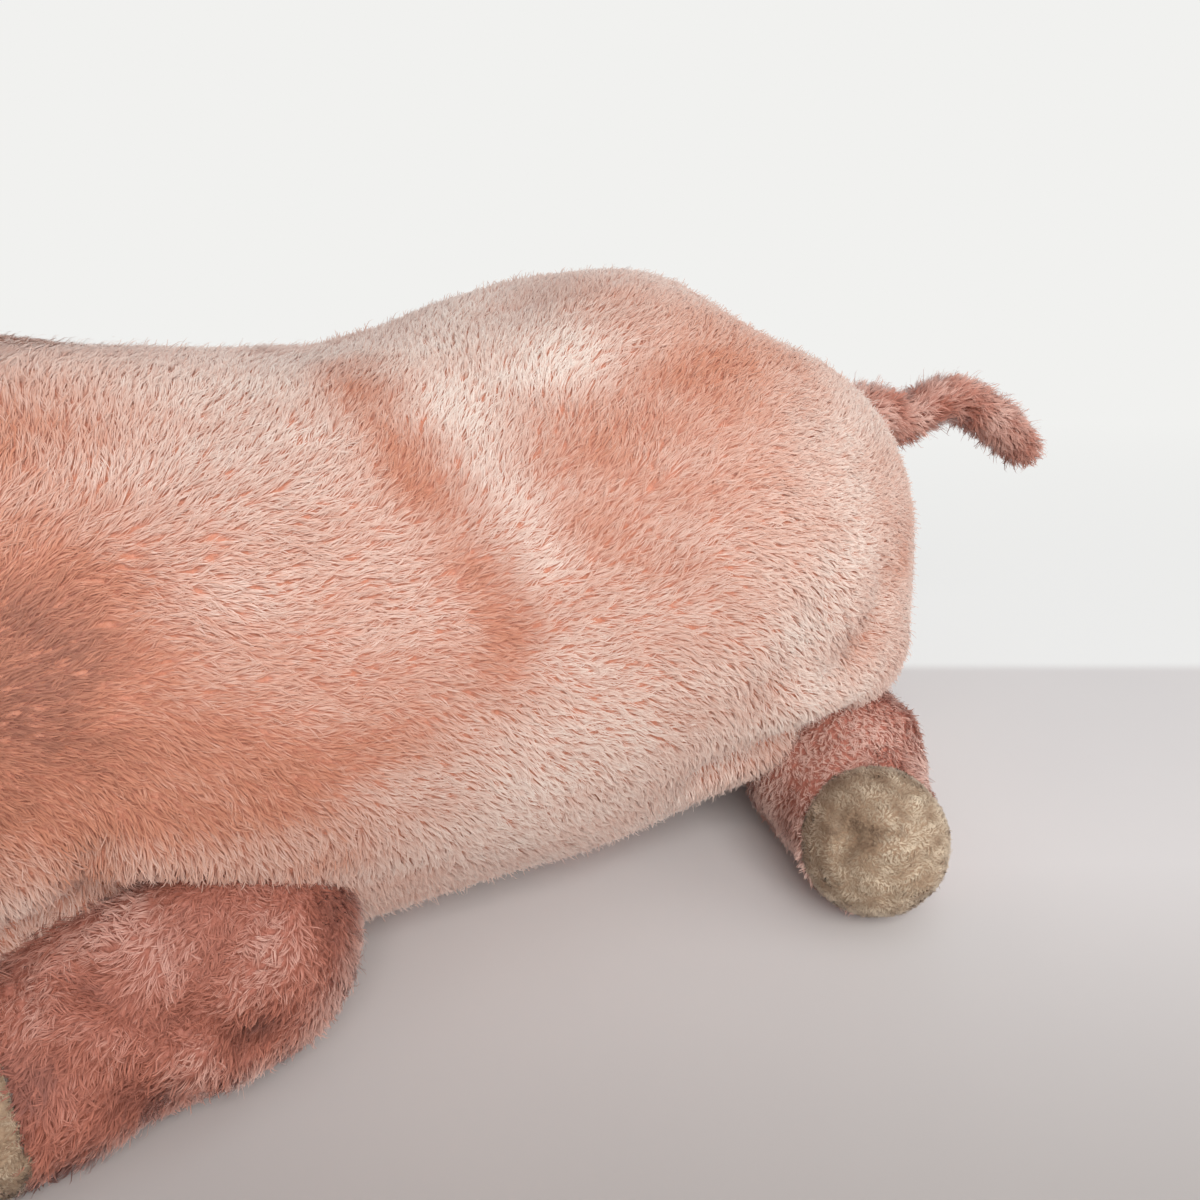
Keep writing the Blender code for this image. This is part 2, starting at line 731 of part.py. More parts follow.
def tube(name, points, radius, material=None):
    """A round thread or groove along a run of points."""
    curve = bpy.data.curves.new(name, "CURVE")
    curve.dimensions = "3D"
    curve.bevel_depth = radius
    curve.bevel_resolution = 1
    curve.use_fill_caps = True
    spline = curve.splines.new("POLY")
    spline.points.add(len(points) - 1)
    for place, point in zip(points, spline.points):
        point.co = (*place, 1.0)
    line = bpy.data.objects.new(name, curve)
    cutters.objects.link(line)
    mesh = bpy.data.meshes.new_from_object(line.evaluated_get(bpy.context.evaluated_depsgraph_get()))
    bpy.data.objects.remove(line, do_unlink=True)
    shape = bmesh.new()
    shape.from_mesh(mesh)
    bmesh.ops.remove_doubles(shape, verts=shape.verts, dist=radius / 10)
    bmesh.ops.recalc_face_normals(shape, faces=shape.faces)
    shape.to_mesh(mesh)
    shape.free()
    return add_object(name, mesh, material)


def cleft_line(leg):
    """Points over the top of a hoof, from near the middle of its face back toward the seam."""
    axis = leg["axis"]
    upward = (Vector((0, 0, 1)) - axis * axis.z).normalized()
    points = []
    for step in range(cleft_steps + 1):
        angle = cleft_start + (cleft_end - cleft_start) * step / cleft_steps
        points.append(leg["seam"] + axis * hoof_length * math.cos(angle)
                      + upward * (leg["end_radius"] + hoof_swell) * math.sin(angle))
    return points


for leg_name, leg in legs.items():
    cut(hooves[leg_name], tube(leg_name + "_cleft", cleft_line(leg), cleft_radius))
    stitch = tube(leg_name + "_hoof_stitch", cleft_line(leg)[1:-1], stitch_radius, brown_thread)
    smooth(stitch)
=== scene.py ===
"""A pink plush pig that lies on its belly on a pale table: its sewn covers, its pile and what is stitched on it."""

import math

import bpy
import numpy as np
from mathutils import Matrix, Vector


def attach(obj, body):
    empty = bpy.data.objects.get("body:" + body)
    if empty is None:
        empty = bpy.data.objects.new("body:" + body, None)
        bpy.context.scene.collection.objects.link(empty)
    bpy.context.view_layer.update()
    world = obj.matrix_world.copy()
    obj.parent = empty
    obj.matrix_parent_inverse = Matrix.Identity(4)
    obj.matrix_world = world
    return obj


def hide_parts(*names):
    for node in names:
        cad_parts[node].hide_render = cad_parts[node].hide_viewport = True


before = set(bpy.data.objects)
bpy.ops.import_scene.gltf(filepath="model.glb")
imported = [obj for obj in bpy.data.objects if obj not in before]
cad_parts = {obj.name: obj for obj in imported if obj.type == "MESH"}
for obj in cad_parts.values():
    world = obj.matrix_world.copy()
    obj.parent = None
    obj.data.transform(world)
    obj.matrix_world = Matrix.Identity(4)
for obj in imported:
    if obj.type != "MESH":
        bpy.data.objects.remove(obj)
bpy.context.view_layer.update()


# Camera
# It looks down on the pig's left flank from close by, so that the head is past the left edge of the view.

view_side = 1200
focal_length_in_view = 1200
sensor_width = 36.0
camera_place = Vector((-0.125, -0.317, 0.237))
camera_turn = math.radians(27)
camera_dip = math.radians(25)
looking = Vector((math.sin(camera_turn) * math.cos(camera_dip),
                  math.cos(camera_turn) * math.cos(camera_dip), -math.sin(camera_dip)))


def new_object(name, data):
    """An object of some data, in the scene."""
    made = bpy.data.objects.new(name, data)
    bpy.context.scene.collection.objects.link(made)
    return made


camera = new_object("camera", bpy.data.cameras.new("camera"))
camera.data.sensor_fit = "HORIZONTAL"
camera.data.sensor_width = sensor_width
camera.data.lens = sensor_width * focal_length_in_view / view_side
camera.data.clip_start = 0.01
camera.location = camera_place
camera.rotation_euler = looking.to_track_quat("-Z", "Y").to_euler()
bpy.context.scene.camera = camera
bpy.context.scene.view_settings.view_transform = "Standard"


# Body cover
# One long tube of pink plush with a knitted backing, sewn shut at the rump and stuffed until it is nearly round.
# It rests on its belly, and the legs press a crease into each flank.

def through(table, x):
    """Smooth values at x of every column of a table whose first column is x."""
    table = np.array(table, float)
    known = table[:, 0]
    place = np.clip(np.searchsorted(known, x) - 1, 0, len(known) - 2)
    gap = known[place + 1] - known[place]
    t = np.clip((x - known[place]) / gap, 0, 1)
    columns = []
    for column in table.T[1:]:
        slope = np.gradient(column, known)
        columns.append((2 * t ** 3 - 3 * t ** 2 + 1) * column[place]
                       + (t ** 3 - 2 * t ** 2 + t) * slope[place] * gap
                       + (-2 * t ** 3 + 3 * t ** 2) * column[place + 1]
                       + (t ** 3 - t ** 2) * slope[place + 1] * gap)
    return columns


def blended(first, second, reach):
    """Two swellings as one, with a soft fillet between them."""
    share = np.clip(0.5 + 0.5 * (second - first) / reach, 0, 1)
    return second + (first - second) * share - reach * share * (1 - share)


def egg(points, centre, radii):
    """How far points are outside an egg, negative inside it."""
    return (np.linalg.norm((points - np.array(centre)) / np.array(radii), axis=1) - 1) * min(radii)


def unit(vectors):
    return vectors / np.maximum(np.linalg.norm(vectors, axis=-1, keepdims=True), 1e-12)


def near_line(points, line):
    """How far points are from a run of straight pieces."""
    nearest = np.full(len(points), 1.0)
    for start, end in zip(line, line[1:]):
        start, step = np.array(start), np.array(end) - np.array(start)
        share = np.clip((points - start) @ step / (step @ step), 0, 1)
        nearest = np.minimum(nearest, np.linalg.norm(points - start - share[:, None] * step, axis=1))
    return nearest


def fade(distance, width):
    return np.exp(-(distance / width) ** 2)


def with_lines(level, points, lines):
    """A value at each point, changed along the lines of a table."""
    for line, width, change in lines:
        level = level + change * fade(near_line(points, line), width)
    return level


def in_metres(table):
    """A table with its first column, given in millimetres, in metres."""
    return [(np.array(places) / 1000, *rest) for places, *rest in table]


def away_from(points, place):
    return np.linalg.norm(points - np.array(place), axis=1)


def on_left(points):
    """The same points, mirrored to the left side where they aren't on it."""
    return points * (1, 0, 1) - np.abs(points) * (0, 1, 0)


def full_turn(count):
    """Angles all the way round."""
    return 2 * math.pi * np.arange(count) / count


def swirls(points, seed, length, count=6):
    """Smooth unevenness about 0, made of a few crossing waves."""
    draw = np.random.default_rng(seed)
    total = np.zeros(len(points))
    for _ in range(count):
        wave = draw.normal(size=3)
        wave *= 2 * math.pi / length / np.linalg.norm(wave) * draw.uniform(0.6, 1.5)
        total += np.sin(points @ wave + draw.uniform(0, 2 * math.pi))
    return total / math.sqrt(count / 2)


body_stations = (
    # along X, half width, middle height, half height
    (-0.185, 0.0790, 0.0860, 0.0860),
    (-0.150, 0.0815, 0.0860, 0.0860),
    (-0.126, 0.0815, 0.0855, 0.0855),
    (-0.101, 0.0810, 0.0832, 0.0832),
    (-0.065, 0.0810, 0.0803, 0.0803),
    (-0.036, 0.0815, 0.0808, 0.0808),
    (0.000, 0.0825, 0.0850, 0.0840),
    (0.033, 0.0840, 0.0895, 0.0855),
    (0.060, 0.0835, 0.0880, 0.0820),
    (0.085, 0.0830, 0.0825, 0.0760),
    (0.131, 0.0820, 0.0695, 0.0765),
    (0.170, 0.0820, 0.0640, 0.0765),
)
front_rounding = (-0.130, -0.190)
rump_start, rump_end = 0.030, 0.1455
rump_plan_power, rump_side_power = 2.0, 3.4
end_power = 2.2
belly_power = 1.95

body_creases = in_metres((
    # line on the left flank in millimetres, half width, depth
    (((-168, -72, 48), (-148, -74, 57), (-130, -80, 68), (-121, -79, 65),
      (-106, -77, 58), (-98, -76, 53), (-86, -69, 36)), 0.0050, 0.0050),
    (((-130, -81, 73), (-127, -81, 79)), 0.0050, 0.0036),
    (((-172, -72, 40), (-150, -76, 49), (-132, -79, 58), (-120, -79, 56)), 0.0085, 0.0105),
    (((-112, -77, 50), (-96, -73, 44)), 0.0080, 0.0045),
    (((36, -74, 44), (50, -73, 47), (64, -70, 49), (80, -66, 49)), 0.0080, 0.0085),
    (((92, -68, 92), (84, -72, 80), (72, -76, 74)), 0.0085, 0.0030),
    (((62, -76, 64), (80, -70, 60), (96, -62, 58), (112, -52, 60)), 0.0110, -0.0030),
    (((45, -82, 78), (60, -79, 90), (68, -76, 108)), 0.0060, 0.0009),
    (((-45, -19, 161), (-41, -46, 149), (-36, -64, 134), (-27, -78, 106)), 0.0070, 0.0012),
    (((0, -20, 171), (17, -30, 169), (34, -26, 172)), 0.0040, 0.0008),
    (((5, -10, 172), (20, -19, 172), (38, -12, 175)), 0.0040, 0.0008),
))
body_unevenness = 0.0007
body_unevenness_length = 0.055
body_spine = ((-0.120, 0, 0.080), (0.095, 0, 0.072))


def torso_field(points):
    """How far points are outside the stuffed body, about in metres, negative inside."""
    x, y, z = points.T
    wide, middle, tall = through(body_stations, x)
    past = np.clip((x - rump_start) / (rump_end - rump_start), 0, 1)
    wide = np.maximum(wide * (1 - past ** rump_plan_power) ** (1 / rump_plan_power), 0.0001)
    high = np.maximum(tall * (1 - past ** rump_side_power) ** (1 / rump_side_power), 0.0001)
    up = z - middle
    power = np.where(up < 0, belly_power, 2.0)
    ring = ((np.abs(y) / wide) ** power + (np.abs(up) / high) ** power) ** (1 / power)
    front = np.clip((x - front_rounding[0]) / (front_rounding[1] - front_rounding[0]), 0, None)
    field = ((ring ** end_power + front ** end_power) ** (1 / end_power) - 1) * tall
    return np.maximum(field, x - rump_end)


def ray_surface(field, starts, directions, reach):
    """Where each ray leaves a form."""
    low = np.zeros(len(starts))
    high = np.full(len(starts), reach)
    for _ in range(24):
        middle = (low + high) / 2
        inside = field(starts + directions * middle[:, None]) < 0
        low, high = np.where(inside, middle, low), np.where(inside, high, middle)
    return starts + directions * ((low + high) / 2)[:, None]


def rays_round_line(line, rings, around, end_share):
    """Rays that leave a line all round: spokes along it, and a fan at each end."""
    start, end = (np.array(place, float) for place in line)
    axis = unit(end - start)
    side = unit(np.cross(axis, (0, 0, 1.0)))
    up = np.cross(side, axis)
    share = (np.arange(rings) + 0.5) / rings
    tilt = np.pi / 2 * np.minimum(1, np.minimum(share, 1 - share) / end_share)
    lean = np.cos(tilt) * np.where(share < 0.5, -1, 1)
    place = np.clip((share - end_share) / (1 - 2 * end_share), 0, 1)
    angle = full_turn(around)
    spokes = np.outer(np.cos(angle), side) + np.outer(np.sin(angle), up)
    starts = np.repeat(start + np.outer(place, end - start), around, 0)
    directions = (lean[:, None, None] * axis + np.sin(tilt)[:, None, None] * spokes).reshape(-1, 3)
    return starts, directions


def skin(name, points, rings, around, material, body):
    """A closed cover from rings of points, that moves with one body of the frame."""
    verts = np.vstack([points, points[:around].mean(0), points[-around:].mean(0)])
    index = np.arange(rings * around).reshape(rings, around)
    after = np.roll(index, -1, 1)
    quads = np.stack([index[:-1], index[1:], after[1:], after[:-1]], -1).reshape(-1, 4)
    first, last = rings * around, rings * around + 1
    fans = [(first, i, n) for i, n in zip(index[0], after[0])]
    fans += [(last, n, i) for i, n in zip(index[-1], after[-1])]
    mesh = bpy.data.meshes.new(name)
    mesh.from_pydata(verts.tolist(), [], quads.tolist() + fans)
    mesh.update()
    mesh.shade_smooth()
    row, column = np.divmod(np.arange((rings - 1) * around), around)
    u = np.stack([column, column, column + 1, column + 1], 1) / around
    v = np.stack([row, row + 1, row + 1, row], 1) / (rings + 1) + 1 / (rings + 1)
    turn = np.arange(around) / around
    middle = turn + 0.5 / around
    near = np.full(around, 1 / (rings + 1))
    fan_u = np.stack([middle, turn, turn + 1 / around], 1), np.stack([middle, turn + 1 / around, turn], 1)
    fan_v = np.stack([0 * near, near, near], 1), np.stack([1 + 0 * near, 1 - near, 1 - near], 1)
    flat = np.stack([np.concatenate([u.ravel(), fan_u[0].ravel(), fan_u[1].ravel()]),
                     np.concatenate([v.ravel(), fan_v[0].ravel(), fan_v[1].ravel()])], 1)
    mesh.uv_layers.new(name="OFBake").uv.foreach_set("vector", (0.01 + 0.98 * flat).astype(np.float32).ravel())
    mesh.materials.append(material)
    obj = new_object(name, mesh)
    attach(obj, body)
    return obj


def shade(red, green, blue):
    """A colour as it is seen on a screen, 0 to 255, as the shaders take it."""
    return tuple(c / 255 / 12.92 if c <= 10 else ((c / 255 + 0.055) / 1.055) ** 2.4 for c in (red, green, blue)) + (1,)


def node_group(name, inputs, outputs):
    """An empty node group with named sockets."""
    group = bpy.data.node_groups.new(name, "ShaderNodeTree")
    for socket, kind, value in inputs:
        made = group.interface.new_socket(socket, in_out="INPUT", socket_type=kind)
        if value is not None:
            made.default_value = value
    for socket, kind in outputs:
        group.interface.new_socket(socket, in_out="OUTPUT", socket_type=kind)
    return group, group.nodes.new("NodeGroupInput"), group.nodes.new("NodeGroupOutput")


def feed(tree, node, feeds):
    """Give a node's sockets their plain values, or links from the sockets that feed them."""
    for socket, value in feeds.items():
        if isinstance(value, bpy.types.NodeSocket):
            tree.links.new(value, node.inputs[socket])
        else:
            node.inputs[socket].default_value = value


def node_in(tree, kind, feeds, **settings):
    """A shader node with its settings and feeds."""
    node = tree.nodes.new("ShaderNode" + kind)
    for setting, value in settings.items():
        setattr(node, setting, value)
    feed(tree, node, feeds)
    return node


def mix_colours(tree, share, first, second, blend="MIX"):
    """A mix of two colours, each a socket or a plain colour."""
    return node_in(tree, "Mix", {"Factor": share, 6: first, 7: second}, data_type="RGBA", blend_type=blend).outputs[2]


# The pile's strand map holds a strand's tone across it, and the way from root to tip up it
strand_foot, strand_top = 0.005, 0.245
# Strand tones below shaded_below are dimmed toward darkest_shading: painted shade for locks that stand in shadow
shaded_below = 0.3
darkest_shading = (0.52, 0.48, 0.50, 1)
pile_colour, taken, given = node_group("pile colour", (
    ("Strand", "NodeSocketVector", None),
    ("Root deep", "NodeSocketColor", None), ("Root light", "NodeSocketColor", None),
    ("Tip deep", "NodeSocketColor", None), ("Tip light", "NodeSocketColor", None),
), (("Colour", "NodeSocketColor"),))
split = node_in(pile_colour, "SeparateXYZ", {0: taken.outputs["Strand"]})
lighter = node_in(pile_colour, "MapRange", {"Value": split.outputs[0], "From Min": shaded_below}).outputs[0]
# Each strand darkens from tip to root: painted shade down among the strands
rise = node_in(pile_colour, "MapRange", {"Value": split.outputs[1], "From Min": 0.02, "From Max": 0.17},
               interpolation_type="SMOOTHSTEP").outputs[0]
shaded = node_in(pile_colour, "MapRange", {"Value": split.outputs[0], "From Max": shaded_below}).outputs[0]
root = mix_colours(pile_colour, lighter, taken.outputs["Root deep"], taken.outputs["Root light"])
tip = mix_colours(pile_colour, lighter, taken.outputs["Tip deep"], taken.outputs["Tip light"])
whole = mix_colours(pile_colour, rise, root, tip)
shading = mix_colours(pile_colour, shaded, darkest_shading, (1, 1, 1, 1))
feed(pile_colour, given, {"Colour": mix_colours(pile_colour, 1.0, whole, shading, "MULTIPLY")})

# Knitted or woven backing: small rounded loops, a little uneven in colour
loops, taken, given = node_group("backing loops", (
    ("Deep", "NodeSocketColor", None), ("Light", "NodeSocketColor", None),
    ("Loops per metre", "NodeSocketFloat", 900.0),
), (("Colour", "NodeSocketColor"), ("Height", "NodeSocketFloat")))
place = node_in(loops, "TexCoord", {}).outputs["Object"]
cells = node_in(loops, "TexVoronoi", {"Vector": place, "Scale": taken.outputs["Loops per metre"]}).outputs["Distance"]
cloud = node_in(loops, "TexNoise", {"Vector": place, "Scale": 60.0, "Detail": 4.0}).outputs["Fac"]
both = node_in(loops, "Math", {0: cloud, 1: cells}, operation="SUBTRACT").outputs[0]
raised = node_in(loops, "MapRange", {"Value": both, "From Min": -0.5, "From Max": 0.6}).outputs[0]
feed(loops, given, {"Colour": mix_colours(loops, raised, taken.outputs["Deep"], taken.outputs["Light"]),
                    "Height": raised})


def new_material(name):
    """A material, its node tree and its shader."""
    material = bpy.data.materials.new(name)
    material.use_nodes = True
    return material, material.node_tree, material.node_tree.nodes["Principled BSDF"]


def pile_material(name, root_deep, root_light, tip_deep, tip_light, sheen):
    """The finish of the pile's strands."""
    material, tree, shader = new_material(name)
    strand = node_in(tree, "UVMap", {}, uv_map="OFBake").outputs[0]
    colour = node_in(tree, "Group", {
        "Strand": strand, "Root deep": shade(*root_deep), "Root light": shade(*root_light),
        "Tip deep": shade(*tip_deep), "Tip light": shade(*tip_light)}, node_tree=pile_colour)
    feed(tree, shader, {"Base Color": colour.outputs["Colour"], "Roughness": 0.55, "Specular IOR Level": 0.30,
                        "Sheen Weight": sheen, "Sheen Roughness": 0.40})
    return material


def backing_material(name, deep, light, loops_per_metre, relief, sheen=0.1, roughness=0.90):
    """The finish of a knitted or woven cloth."""
    material, tree, shader = new_material(name)
    cloth = node_in(tree, "Group", {"Deep": shade(*deep), "Light": shade(*light),
                                    "Loops per metre": loops_per_metre}, node_tree=loops)
    bump = node_in(tree, "Bump", {"Distance": relief, "Height": cloth.outputs["Height"]})
    feed(tree, shader, {"Base Color": cloth.outputs["Colour"], "Normal": bump.outputs[0],
                        "Roughness": roughness, "Sheen Weight": sheen})
    return material


strand_profile = (
    # along the strand, how far it has risen, how far the lock has gathered, width
    (0.00, 0.00, 1.00, 1.00),
    (0.36, 0.62, 0.86, 1.00),
    (0.72, 0.95, 0.60, 0.80),
    (1.00, 1.00, 0.40, 0.00),
)
# Two four-sided faces and a three-sided tip
strand_corners, strand_face_starts = np.array((0, 1, 3, 2, 2, 3, 5, 4, 4, 5, 6)), np.array((0, 4, 8))
strand_points, strand_runs = 7, np.repeat([row[0] for row in strand_profile], 2)[:7]
strands_per_piece = 40000
seat_depth = 0.0004
own_facing = 0.18
tries_per_cell = 8
# Swirls of the lay and the length: how much, and how far apart
lay_swirl, length_swirl = (0.16, 0.035), (0.08, 0.012)
# How much single locks and strands differ
lock_tones, lock_lengths, lock_rises = 0.035, 0.09, 0.14
strand_tones, strand_lengths, strand_rises, strand_drifts, strand_twists = 0.05, 0.10, 0.10, 0.07, 0.3
loose_share, loose_rise, loose_drift = 0.05, 1.7, 2.5


def read_mesh(items, what, kind=np.float32):
    """One property of a mesh's items, three numbers to a row."""
    values = np.empty(len(items) * 3, kind)
    items.foreach_get(what, values)
    return values.reshape(-1, 3)


def pile(name, cover, body, material, seed, lay, tone, lock_spacing, strands_per_lock, length, rise,
         width=0.00025, lock_radius=0.0010, turn=0.11, keep=None):
    """The pile of one cover: locks of strands, one lock in each cell of a fine grid."""
    draw = np.random.default_rng(seed)
    mesh = cover.data
    mesh.calc_loop_triangles()
    corners = read_mesh(mesh.loop_triangles, "vertices", np.int32)
    place = read_mesh(mesh.vertices, "co").astype(float)
    facing = read_mesh(mesh.vertex_normals, "vector").astype(float)
    a, b, c = (place[corners[:, k]] for k in range(3))
    area = np.cumsum(np.linalg.norm(np.cross(b - a, c - a), axis=1) / 2)
    tries = int(area[-1] / lock_spacing ** 2 * tries_per_cell)
    face = np.searchsorted(area, draw.uniform(size=tries) * area[-1]).clip(0, len(corners) - 1)
    one, two = np.sqrt(draw.uniform(size=tries)), draw.uniform(size=tries)
    share = np.stack([1 - one, one * (1 - two), one * two], 1)[:, :, None]
    root_place = (place[corners[face]] * share).sum(1)
    in_cells = (root_place + 1) / lock_spacing
    off_middle = np.linalg.norm(in_cells % 1 - 0.5, axis=1) + draw.uniform(0, 0.2, tries)
    nearest = np.argsort(off_middle)
    cell = np.floor(in_cells[nearest]).astype(np.int64) @ (10 ** 10, 10 ** 5, 1)
    chosen = nearest[np.unique(cell, return_index=True)[1]]
    root_place = root_place[chosen]
    normal = unit((facing[corners[face[chosen]]] * share[chosen]).sum(1))
    if keep is not None:
        kept = keep(root_place, normal)
        root_place, normal = root_place[kept], normal[kept]

    locks = len(root_place)
    along = lay(root_place, normal)
    along = unit(along - normal * (along * normal).sum(1, keepdims=True))
    across = np.cross(normal, along)
    swing = (swirls(root_place, seed + 1, lay_swirl[1]) * lay_swirl[0] + draw.normal(0, turn, locks))[:, None]
    along, across = (along * np.cos(swing) + across * np.sin(swing),
                     across * np.cos(swing) - along * np.sin(swing))
    # The tone function gives each lock its own tone, and on some covers also painted light and shade
    lock_tone = tone(root_place, normal) + draw.normal(0, lock_tones, locks)
    lock_length = length * (1 + swirls(root_place, seed + 2, length_swirl[1]) * length_swirl[0]
                            + draw.normal(0, lock_lengths, locks))
    lock_bend = draw.normal(0, 0.16 + turn * 0.6, locks)
    lock_rise = rise * (1 + draw.normal(0, lock_rises, locks))

    count = locks * strands_per_lock
    lock = np.repeat(np.arange(locks), strands_per_lock)
    reach, angle = np.sqrt(draw.uniform(size=count)), draw.uniform(0, 2 * math.pi, count)
    ahead, aside = reach * np.cos(angle) * lock_radius * 1.5, reach * np.sin(angle) * lock_radius
    loose = draw.uniform(size=count) < loose_share
    strand_length = lock_length[lock] * (1 + draw.normal(0, strand_lengths, count))
    strand_rise = (lock_rise[lock] * (1 - 0.4 * (aside / lock_radius) ** 2)
                   * (1 + draw.normal(0, strand_rises, count)) * np.where(loose, loose_rise, 1.0))
    drift = draw.normal(0, strand_drifts, count) * np.where(loose, loose_drift, 1.0)
    t_along, t_across, t_normal = along[lock], across[lock], normal[lock]
    twist = draw.normal(0, strand_twists, count)[:, None]
    flat = -(t_across * np.cos(twist) + t_normal * np.sin(twist))
    rows = []
    for run, risen, gathered, wide in strand_profile:
        sideways = aside * gathered + strand_length * (lock_bend[lock] * run ** 2 + drift * run)
        middle = (root_place[lock] + t_along * (ahead + strand_length * run * (1 - 0.1 * risen))[:, None]
                  + t_across * sideways[:, None]
                  + t_normal * (strand_rise * risen - seat_depth * (1 - run))[:, None])
        half = flat * (width / 2 * wide)
        rows += [middle - half, middle + half] if wide else [middle]
    points = np.stack(rows, 1)
    points[:, :, 2] = np.maximum(points[:, :, 2], draw.uniform(0.0001, 0.0008, (count, 1)))
    own = np.cross(unit(points[:, 6] - (points[:, 0] + points[:, 1]) / 2), flat)
    own *= np.sign((own * t_normal).sum(1, keepdims=True))
    soft = np.repeat(unit(unit(own) * own_facing + t_normal * (1 - own_facing))[:, None], strand_points, 1)
    strand_tone = np.clip(lock_tone[lock] + draw.normal(0, strand_tones, count), 0.02, 0.98)

    for part, picked in enumerate(np.array_split(np.arange(count), math.ceil(count / strands_per_piece)), 1):
        strands = len(picked)
        strand = np.arange(strands)[:, None]
        loop_verts = (strand * strand_points + strand_corners).ravel()
        face_starts = (strand * len(strand_corners) + strand_face_starts).ravel()
        piece = bpy.data.meshes.new(f"{name}_{part}")
        piece.vertices.add(strands * strand_points)
        piece.vertices.foreach_set("co", points[picked].astype(np.float32).ravel())
        piece.loops.add(len(loop_verts))
        piece.loops.foreach_set("vertex_index", loop_verts.astype(np.int32))
        piece.polygons.add(strands * len(strand_face_starts))
        piece.polygons.foreach_set("loop_start", face_starts.astype(np.int32))
        u = np.stack([strand_tone[picked] + step for step in (-0.004, 0.004) * 3 + (0,)], 1)
        v = np.broadcast_to(strand_foot + (strand_top - strand_foot) * strand_runs, u.shape)
        flat_map = np.stack([u.ravel()[loop_verts], v.ravel()[loop_verts]], 1)
        piece.uv_layers.new(name="OFBake").uv.foreach_set("vector", flat_map.astype(np.float32).ravel())
        piece.update(calc_edges=True)
        piece.shade_smooth()
        facings = piece.attributes.new("custom_normal", "FLOAT_VECTOR", "POINT")
        facings.data.foreach_set("vector", soft[picked].astype(np.float32).ravel())
        piece.materials.append(material)
        strand_object = new_object(piece.name, piece)
        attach(strand_object, body)


pink_pile = pile_material("pink pile", (189, 119, 96), (226, 180, 160), (205, 139, 111), (240, 226, 215), 0.25)
pink_backing = backing_material("pink knitted backing", (200, 130, 102), (218, 154, 130), 900, 0.0003)

body_rings, body_around = 200, 240
starts, directions = rays_round_line(body_spine, body_rings, body_around, 0.24)
torso = ray_surface(torso_field, starts, directions, 0.2)
sunk = with_lines(-body_unevenness * swirls(torso, 3, body_unevenness_length), on_left(torso), body_creases)
torso -= directions * sunk[:, None]
torso[:, 2] = np.maximum(torso[:, 2], 0.0)
body_cover = skin("body_skin", torso, body_rings, body_around, pink_backing, "body")
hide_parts("body_cover")

body_lay_heights = (-90, -60, -30, 0, 30, 60, 90, 120, 150, 180, 210, 240, 270)
body_lay_turns = (-70, -60, -42, -12, 24, 42, 48, 34, 18, 14, 38, 58, 70)
# Patches of the body's pile: painted shade across the lower left flank and in creases and hollows, painted highlights
# on ridges, on the low flank, on the rump and over the top of the back, and the nap's own deeper and paler patches
body_light_and_nap_patches = in_metres((
    # place in millimetres, radius, change of tone
    ((22, -63, 144), 0.032, -0.38),
    ((2, -61, 142), 0.020, -0.28),
    ((60, -38, 153), 0.022, -0.26),
    ((62, -62, 137), 0.030, -0.22),
    ((100, -58, 100), 0.026, -0.24),
    ((-10, -75, 122), 0.014, -0.16),
    ((5, -40, 160), 0.013, 0.30),
    ((-18, -13, 165), 0.028, 0.32),
    ((-70, -42, 150), 0.036, 0.28),
    ((-43, -54, 143), 0.012, -0.26),
    ((-138, -78, 108), 0.034, -0.36),
    ((-142, -79, 78), 0.015, 0.34),
    ((-88, -77, 108), 0.044, -0.48),
    ((72, -70, 115), 0.034, 0.30),
    ((-19, -78, 56), 0.030, 0.18),
    ((22, -83, 78), 0.022, 0.14),
    ((50, -74, 56), 0.026, 0.24),
    ((79, -74, 82), 0.011, -0.34),
    ((106, -58, 94), 0.010, -0.24),
    ((85, -68, 62), 0.009, 0.20),
    ((-129, -81, 74), 0.007, -0.34),
))
# Streaks: painted shade along the groove down the flank and across the left flank, with the nap's deeper colour in the
# groove, and a painted highlight on the ridge beside it
body_light_and_nap_streaks = in_metres((
    # line in millimetres, half width, change of tone
    (((-49, -19, 161), (-44, -46, 149), (-39, -64, 134), (-32, -76, 114), (-30, -79, 106)), 0.0090, -0.52),
    (((-28, -38, 156), (-22, -61, 138), (-17, -73, 123)), 0.0060, 0.26),
    (((-128, -44, 158), (-132, -67, 134), (-140, -78, 102)), 0.0220, -0.48),
))


def turned(way, normals, angle):
    """Ways turned round the surface's own facing."""
    return way * np.cos(angle)[:, None] + np.cross(normals, way) * np.sin(angle)[:, None]


def body_lay(points, normals):
    """Which way the body's pile is brushed: toward the tail, over the back, and down the lower flanks."""
    round_body = np.degrees(np.arctan2(points[:, 2] - 0.085, -points[:, 1]))
    round_body = np.where(round_body < -90, round_body + 360, round_body)
    turn = np.radians(np.interp(round_body, body_lay_heights, body_lay_turns))
    low_front = fade(near_line(points, ((-0.17, -0.08, 0.06), (-0.09, -0.08, 0.06))), 0.042)
    turn = turn - low_front * 0.95 + 0.30 * swirls(points, 23, 0.09)
    along = turned(np.array((1.0, 0, 0)), normals, turn)
    return along + np.array((0, 0, -1.0)) * np.clip(normals[:, 0], 0, 1)[:, None] ** 2


def plush_tone(points, seed, length):
    """The tone of brushed plush, with soft blotches."""
    return 0.60 + 0.08 * swirls(points, seed, length) + 0.05 * swirls(points, seed + 1, 0.02)


